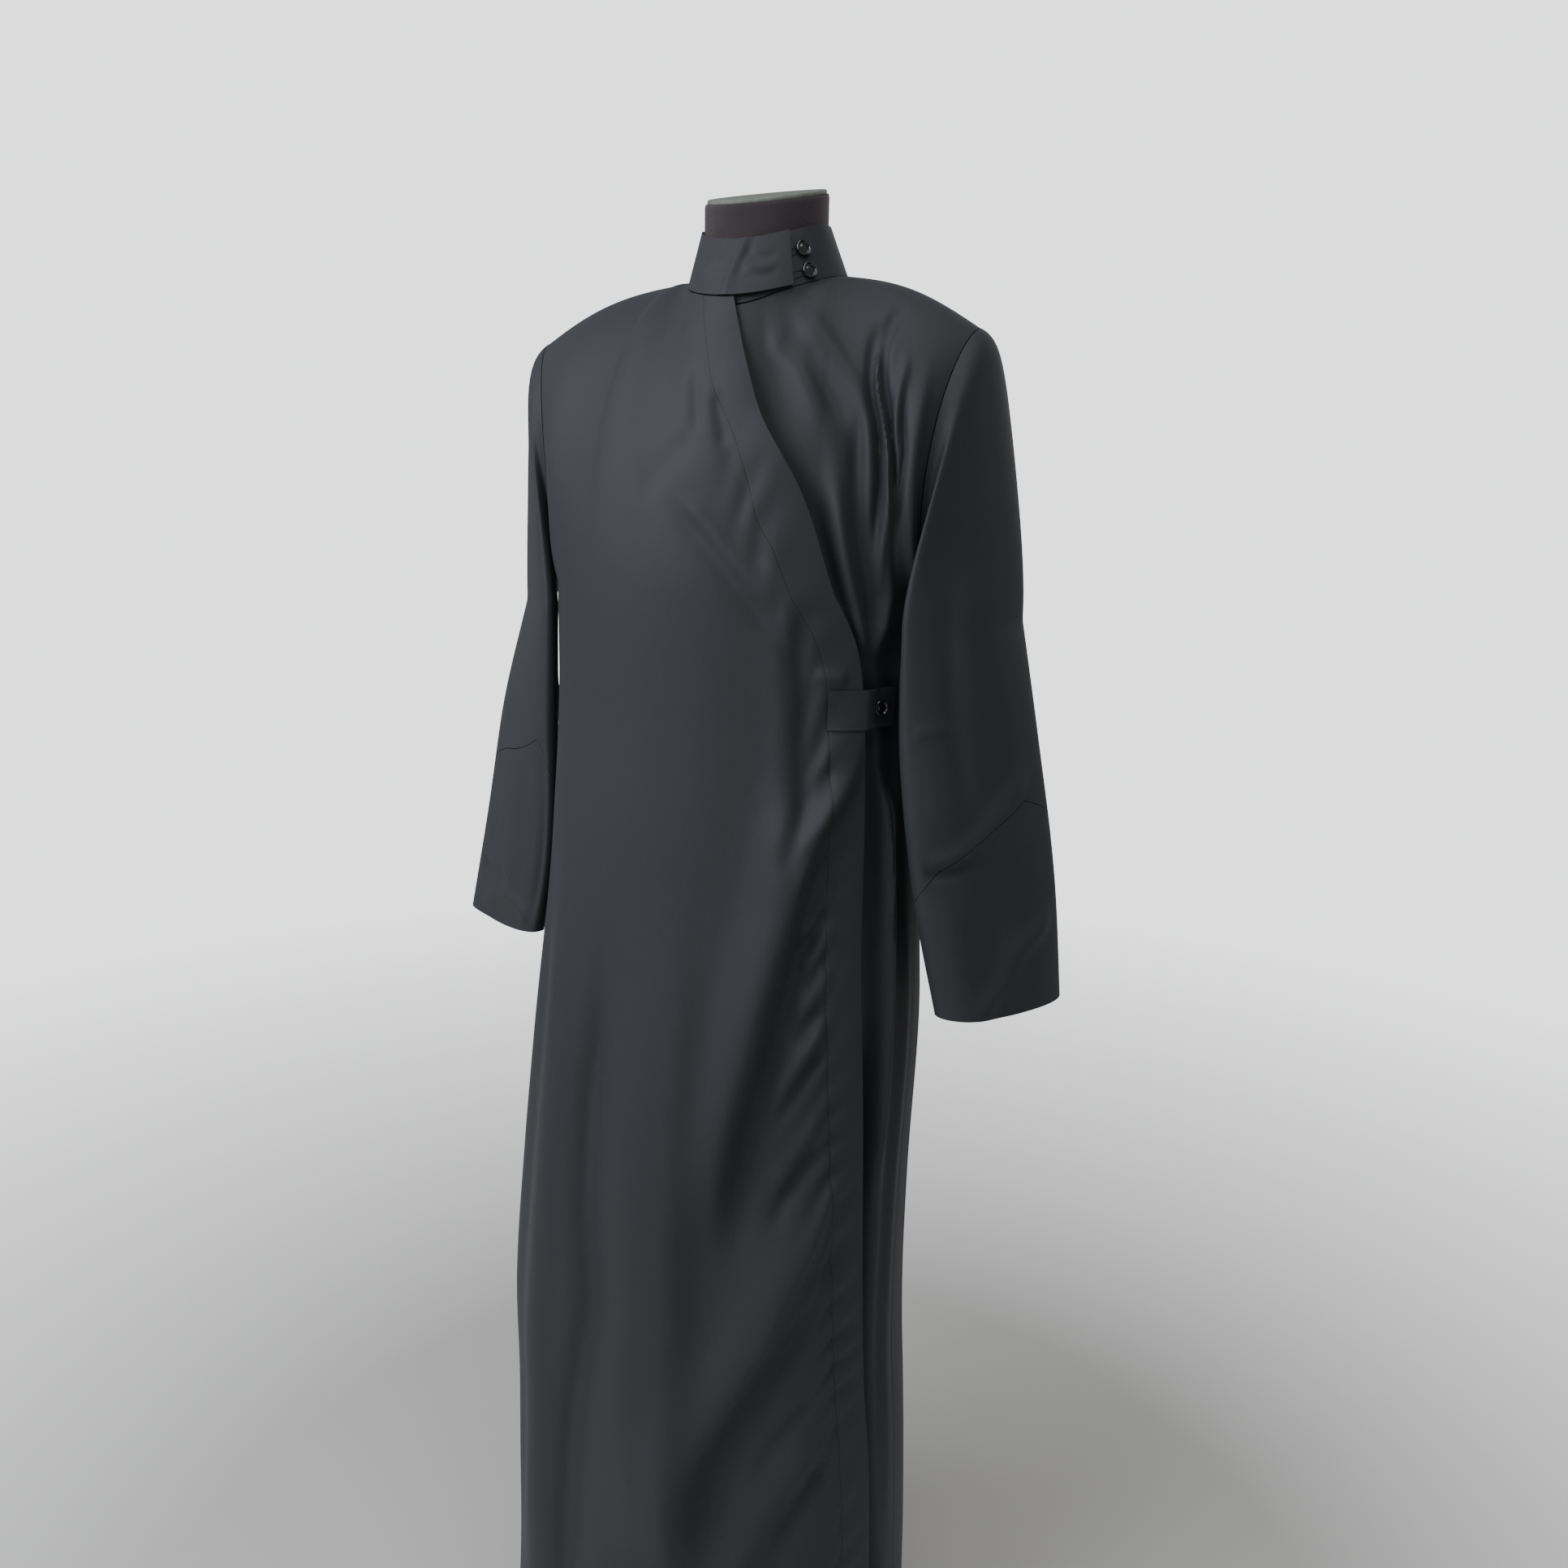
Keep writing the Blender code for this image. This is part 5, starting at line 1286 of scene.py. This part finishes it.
# ---------------------------------------------------------------- dress form
# A limbless fabric-covered form: a smooth torso, a short neck with a knitted cover whose top
# slants up to the back, and a grey-green board let into the top.
FORM_STEPS = 96              # flats round its neck and the stand
FORM_NECK_RADIUS = 0.0588
FORM_NECK_FRONT_TOP = 1.7075
FORM_NECK_SLANT = math.radians(16.0)
SLANT_FROM = -0.09           # below this the neck's turned shapes stay level
SLANT_RUN = 0.06
HARD_ANGLE = 40.0            # edges above this stay sharp on the form and its stand
COVER_PROFILE = [(0.0596, -0.110), (0.0602, -0.100), (0.0602, -0.0040), (0.0600, -0.0018),
                 (0.0596, -0.0004), (0.0590, 0.0002)]
CAP_PROFILE = [(0.0, 0.0043), (0.0560, 0.0043), (0.0568, 0.0041), (0.0574, 0.0036),
               (0.0577, 0.0030), (0.0577, 0.0010), (0.0574, 0.0003), (0.0, 0.0003)]


def knit_material():
    """Matt jersey cover: dark, faintly purple-brown, with fine upright rows of knitting."""
    material, nodes, links, shader = material_with(
        "form_cover", 0.85, Sheen_Weight=0.25, Sheen_Roughness=0.5,
        Sheen_Tint=(0.8, 0.72, 0.76, 1.0), Specular_IOR_Level=0.25)
    place = nodes.new("ShaderNodeTexCoord").outputs["Object"]
    rows = nodes.new("ShaderNodeTexVoronoi")
    rows.inputs["Scale"].default_value = 900.0
    links.new(stretched(nodes, links, place, (1.0, 1.0, 0.55)), rows.inputs["Vector"])
    two_tones(nodes, links, shader, noise(nodes, links, place, 30.0, 5.0),
              (0.020, 0.015, 0.018), (0.044, 0.034, 0.040))
    bump_from(nodes, links, shader, rows.outputs["Distance"], 0.5, 0.0004)
    return material


def board_material():
    """Painted board: grey-green, with specks and slightly worn tone."""
    material, nodes, links, shader = material_with("neck_cap", 0.62)
    specks = noise(nodes, links, nodes.new("ShaderNodeTexCoord").outputs["Object"], 140.0, 6.0)
    two_tones(nodes, links, shader, specks, (0.095, 0.105, 0.090), (0.200, 0.215, 0.190))
    bump_from(nodes, links, shader, specks, 0.3, 0.0003)
    return material


knit = knit_material()
torso_work = bmesh.new()
torso_work.from_mesh(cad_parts["form_torso"].data)
bmesh.ops.remove_doubles(torso_work, verts=torso_work.verts, dist=MERGE_WITHIN)
torso = add_piece("torso_form", torso_work, knit, HARD_ANGLE)
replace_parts(torso, "form_torso")


def slanted(work):
    """Lifts a turned shape onto the neck, with its upper part following the slanted top."""
    slope = math.tan(FORM_NECK_SLANT)
    for vertex in work.verts:
        share = min(1.0, max(0.0, (vertex.co.z - SLANT_FROM) / SLANT_RUN))
        rise = (vertex.co.y + FORM_NECK_RADIUS) * slope * share
        vertex.co = vertex.co + Vector((NECK_CENTRE_X, 0.0, FORM_NECK_FRONT_TOP + rise))
    return work


cover_work = slanted(turned_work(COVER_PROFILE, FORM_STEPS))
bmesh.ops.recalc_face_normals(cover_work, faces=cover_work.faces)
outer = max(cover_work.faces, key=lambda face: face.calc_center_median().x)
if outer.normal.x < 0.0:
    bmesh.ops.reverse_faces(cover_work, faces=cover_work.faces)
cover = add_piece("neck_cover", cover_work, knit)

cap = add_piece("neck_board", slanted(turned_work(CAP_PROFILE, FORM_STEPS)), board_material(),
                HARD_ANGLE)
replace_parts(cap, "form_neck_cap")

# ---------------------------------------------------------------- stand
# A turned steel base, a straight tube and the short socket that the form sits on, all painted
# dark grey. The garment hides most of it.
BASE_THICKNESS = 0.014
SOCKET_LENGTH = 0.045
FORM_BOTTOM = 0.845
SOCKET_BOTTOM = FORM_BOTTOM - SEAM_GAP - SOCKET_LENGTH
BASE_PROFILE = [(0.0, 0.0140), (0.030, 0.0140), (0.1360, 0.0138), (0.1480, 0.0132),
                (0.1550, 0.0116), (0.1590, 0.0090), (0.1600, 0.0060), (0.1600, 0.0016),
                (0.1590, 0.0), (0.0, 0.0)]
POLE_PROFILE = [(0.0, BASE_THICKNESS + SEAM_GAP), (0.0147, BASE_THICKNESS + SEAM_GAP),
                (0.0150, BASE_THICKNESS + 0.001), (0.0150, SOCKET_BOTTOM - 0.0012),
                (0.0144, SOCKET_BOTTOM - SEAM_GAP), (0.0, SOCKET_BOTTOM - SEAM_GAP)]
SOCKET_PROFILE = [(0.0, SOCKET_BOTTOM), (0.0262, SOCKET_BOTTOM), (0.0276, SOCKET_BOTTOM + 0.0006),
                  (0.0280, SOCKET_BOTTOM + 0.002), (0.0280, SOCKET_BOTTOM + 0.012),
                  (0.0268, SOCKET_BOTTOM + 0.014), (0.0268, SOCKET_BOTTOM + 0.030),
                  (0.0280, SOCKET_BOTTOM + 0.032), (0.0280, FORM_BOTTOM - 0.0020),
                  (0.0270, FORM_BOTTOM - SEAM_GAP), (0.0, FORM_BOTTOM - SEAM_GAP)]


def paint_material():
    """Powder paint on steel: dark grey and satin, with a fine orange-peel surface."""
    material, nodes, links, shader = material_with("stand_metal", 0.42, Metallic=0.35)
    place = nodes.new("ShaderNodeTexCoord").outputs["Object"]
    peel, wear = noise(nodes, links, place, 700.0, 2.0), noise(nodes, links, place, 14.0, 6.0)
    two_tones(nodes, links, shader, wear, (0.050, 0.051, 0.053), (0.085, 0.086, 0.088))
    bump_from(nodes, links, shader, peel, 0.15, 0.0002)
    return material


paint = paint_material()
for name, profile in (("stand_base", BASE_PROFILE), ("stand_pole", POLE_PROFILE),
                      ("stand_socket", SOCKET_PROFILE)):
    part = add_piece(f"painted_{name}", turned_work(profile, FORM_STEPS), paint,
                     HARD_ANGLE)
    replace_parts(part, name)

# ---------------------------------------------------------------- floor, light and finish
FLOOR_RADIUS = 14.0
FLOOR_FADES_FROM = 0.8
FLOOR_FADED_BY = 3.2
AMBIENT = 0.30               # the room's own light on the cloth
BACKGROUND = 2.20            # how pale the room looks behind it
ROOM_COLOUR = (0.97, 0.98, 1.0, 1.0)
floor_work = bmesh.new()
bmesh.ops.create_circle(floor_work, cap_ends=True, segments=96, radius=FLOOR_RADIUS)
floor_mesh = bpy.data.meshes.new("studio_floor")
floor_work.to_mesh(floor_mesh)
floor_work.free()
floor_material, nodes, links, floor_shader = material_with("pale_floor", 0.7)
floor_shader.inputs["Base Color"].default_value = (0.66, 0.65, 0.63, 1.0)
# Far off it looks as pale as the room behind it, so that no edge shows.
place = nodes.new("ShaderNodeTexCoord")
far = nodes.new("ShaderNodeVectorMath")
far.operation = "LENGTH"
links.new(place.outputs["Object"], far.inputs[0])
faded = nodes.new("ShaderNodeMapRange")
faded.inputs["From Min"].default_value = FLOOR_FADES_FROM
faded.inputs["From Max"].default_value = FLOOR_FADED_BY
links.new(far.outputs["Value"], faded.inputs["Value"])
seen = nodes.new("ShaderNodeLightPath")
both = nodes.new("ShaderNodeMath")
both.operation = "MULTIPLY"
links.new(faded.outputs["Result"], both.inputs[0])
links.new(seen.outputs["Is Camera Ray"], both.inputs[1])
glow = nodes.new("ShaderNodeEmission")
glow.inputs["Color"].default_value = ROOM_COLOUR
glow.inputs["Strength"].default_value = BACKGROUND
mixed = nodes.new("ShaderNodeMixShader")
links.new(both.outputs["Value"], mixed.inputs["Fac"])
links.new(floor_shader.outputs["BSDF"], mixed.inputs[1])
links.new(glow.outputs["Emission"], mixed.inputs[2])
links.new(mixed.outputs["Shader"], nodes["Material Output"].inputs["Surface"])
floor_mesh.materials.append(floor_material)
floor = bpy.data.objects.new("studio_floor", floor_mesh)
bpy.context.scene.collection.objects.link(floor)

Lamp = namedtuple("Lamp", "name place size power colour")
LAMPS = [
    Lamp("window_left", (-1.50, -1.75, 2.35), 2.4, 68.0, (0.93, 0.965, 1.0)),
    Lamp("above", (0.55, -0.75, 3.30), 1.6, 18.0, (0.97, 0.98, 1.0)),
    Lamp("room_right", (2.2, -1.0, 0.7), 1.2, 2.0, (1.0, 0.88, 0.76)),
    Lamp("behind", (0.8, 2.6, 2.4), 2.0, 9.0, (1.0, 0.98, 0.95)),
]
LAMP_AIM = Vector((0.0, 0.0, 1.1))
for lamp in LAMPS:
    light_data = bpy.data.lights.new(lamp.name, "AREA")
    light_data.shape = "DISK"
    light_data.size = lamp.size
    light_data.energy = lamp.power
    light_data.color = lamp.colour
    light = bpy.data.objects.new(lamp.name, light_data)
    light.location = lamp.place
    light.rotation_euler = (LAMP_AIM - Vector(lamp.place)).to_track_quat("-Z", "Y").to_euler()
    bpy.context.scene.collection.objects.link(light)

world = bpy.data.worlds.new("studio")
world.use_nodes = True
air = world.node_tree.nodes["Background"]
air.inputs["Color"].default_value = ROOM_COLOUR
seen = world.node_tree.nodes.new("ShaderNodeLightPath")
share = world.node_tree.nodes.new("ShaderNodeMapRange")
share.inputs["To Min"].default_value = AMBIENT
share.inputs["To Max"].default_value = BACKGROUND
world.node_tree.links.new(seen.outputs["Is Camera Ray"], share.inputs["Value"])
world.node_tree.links.new(share.outputs["Result"], air.inputs["Strength"])
bpy.context.scene.world = world
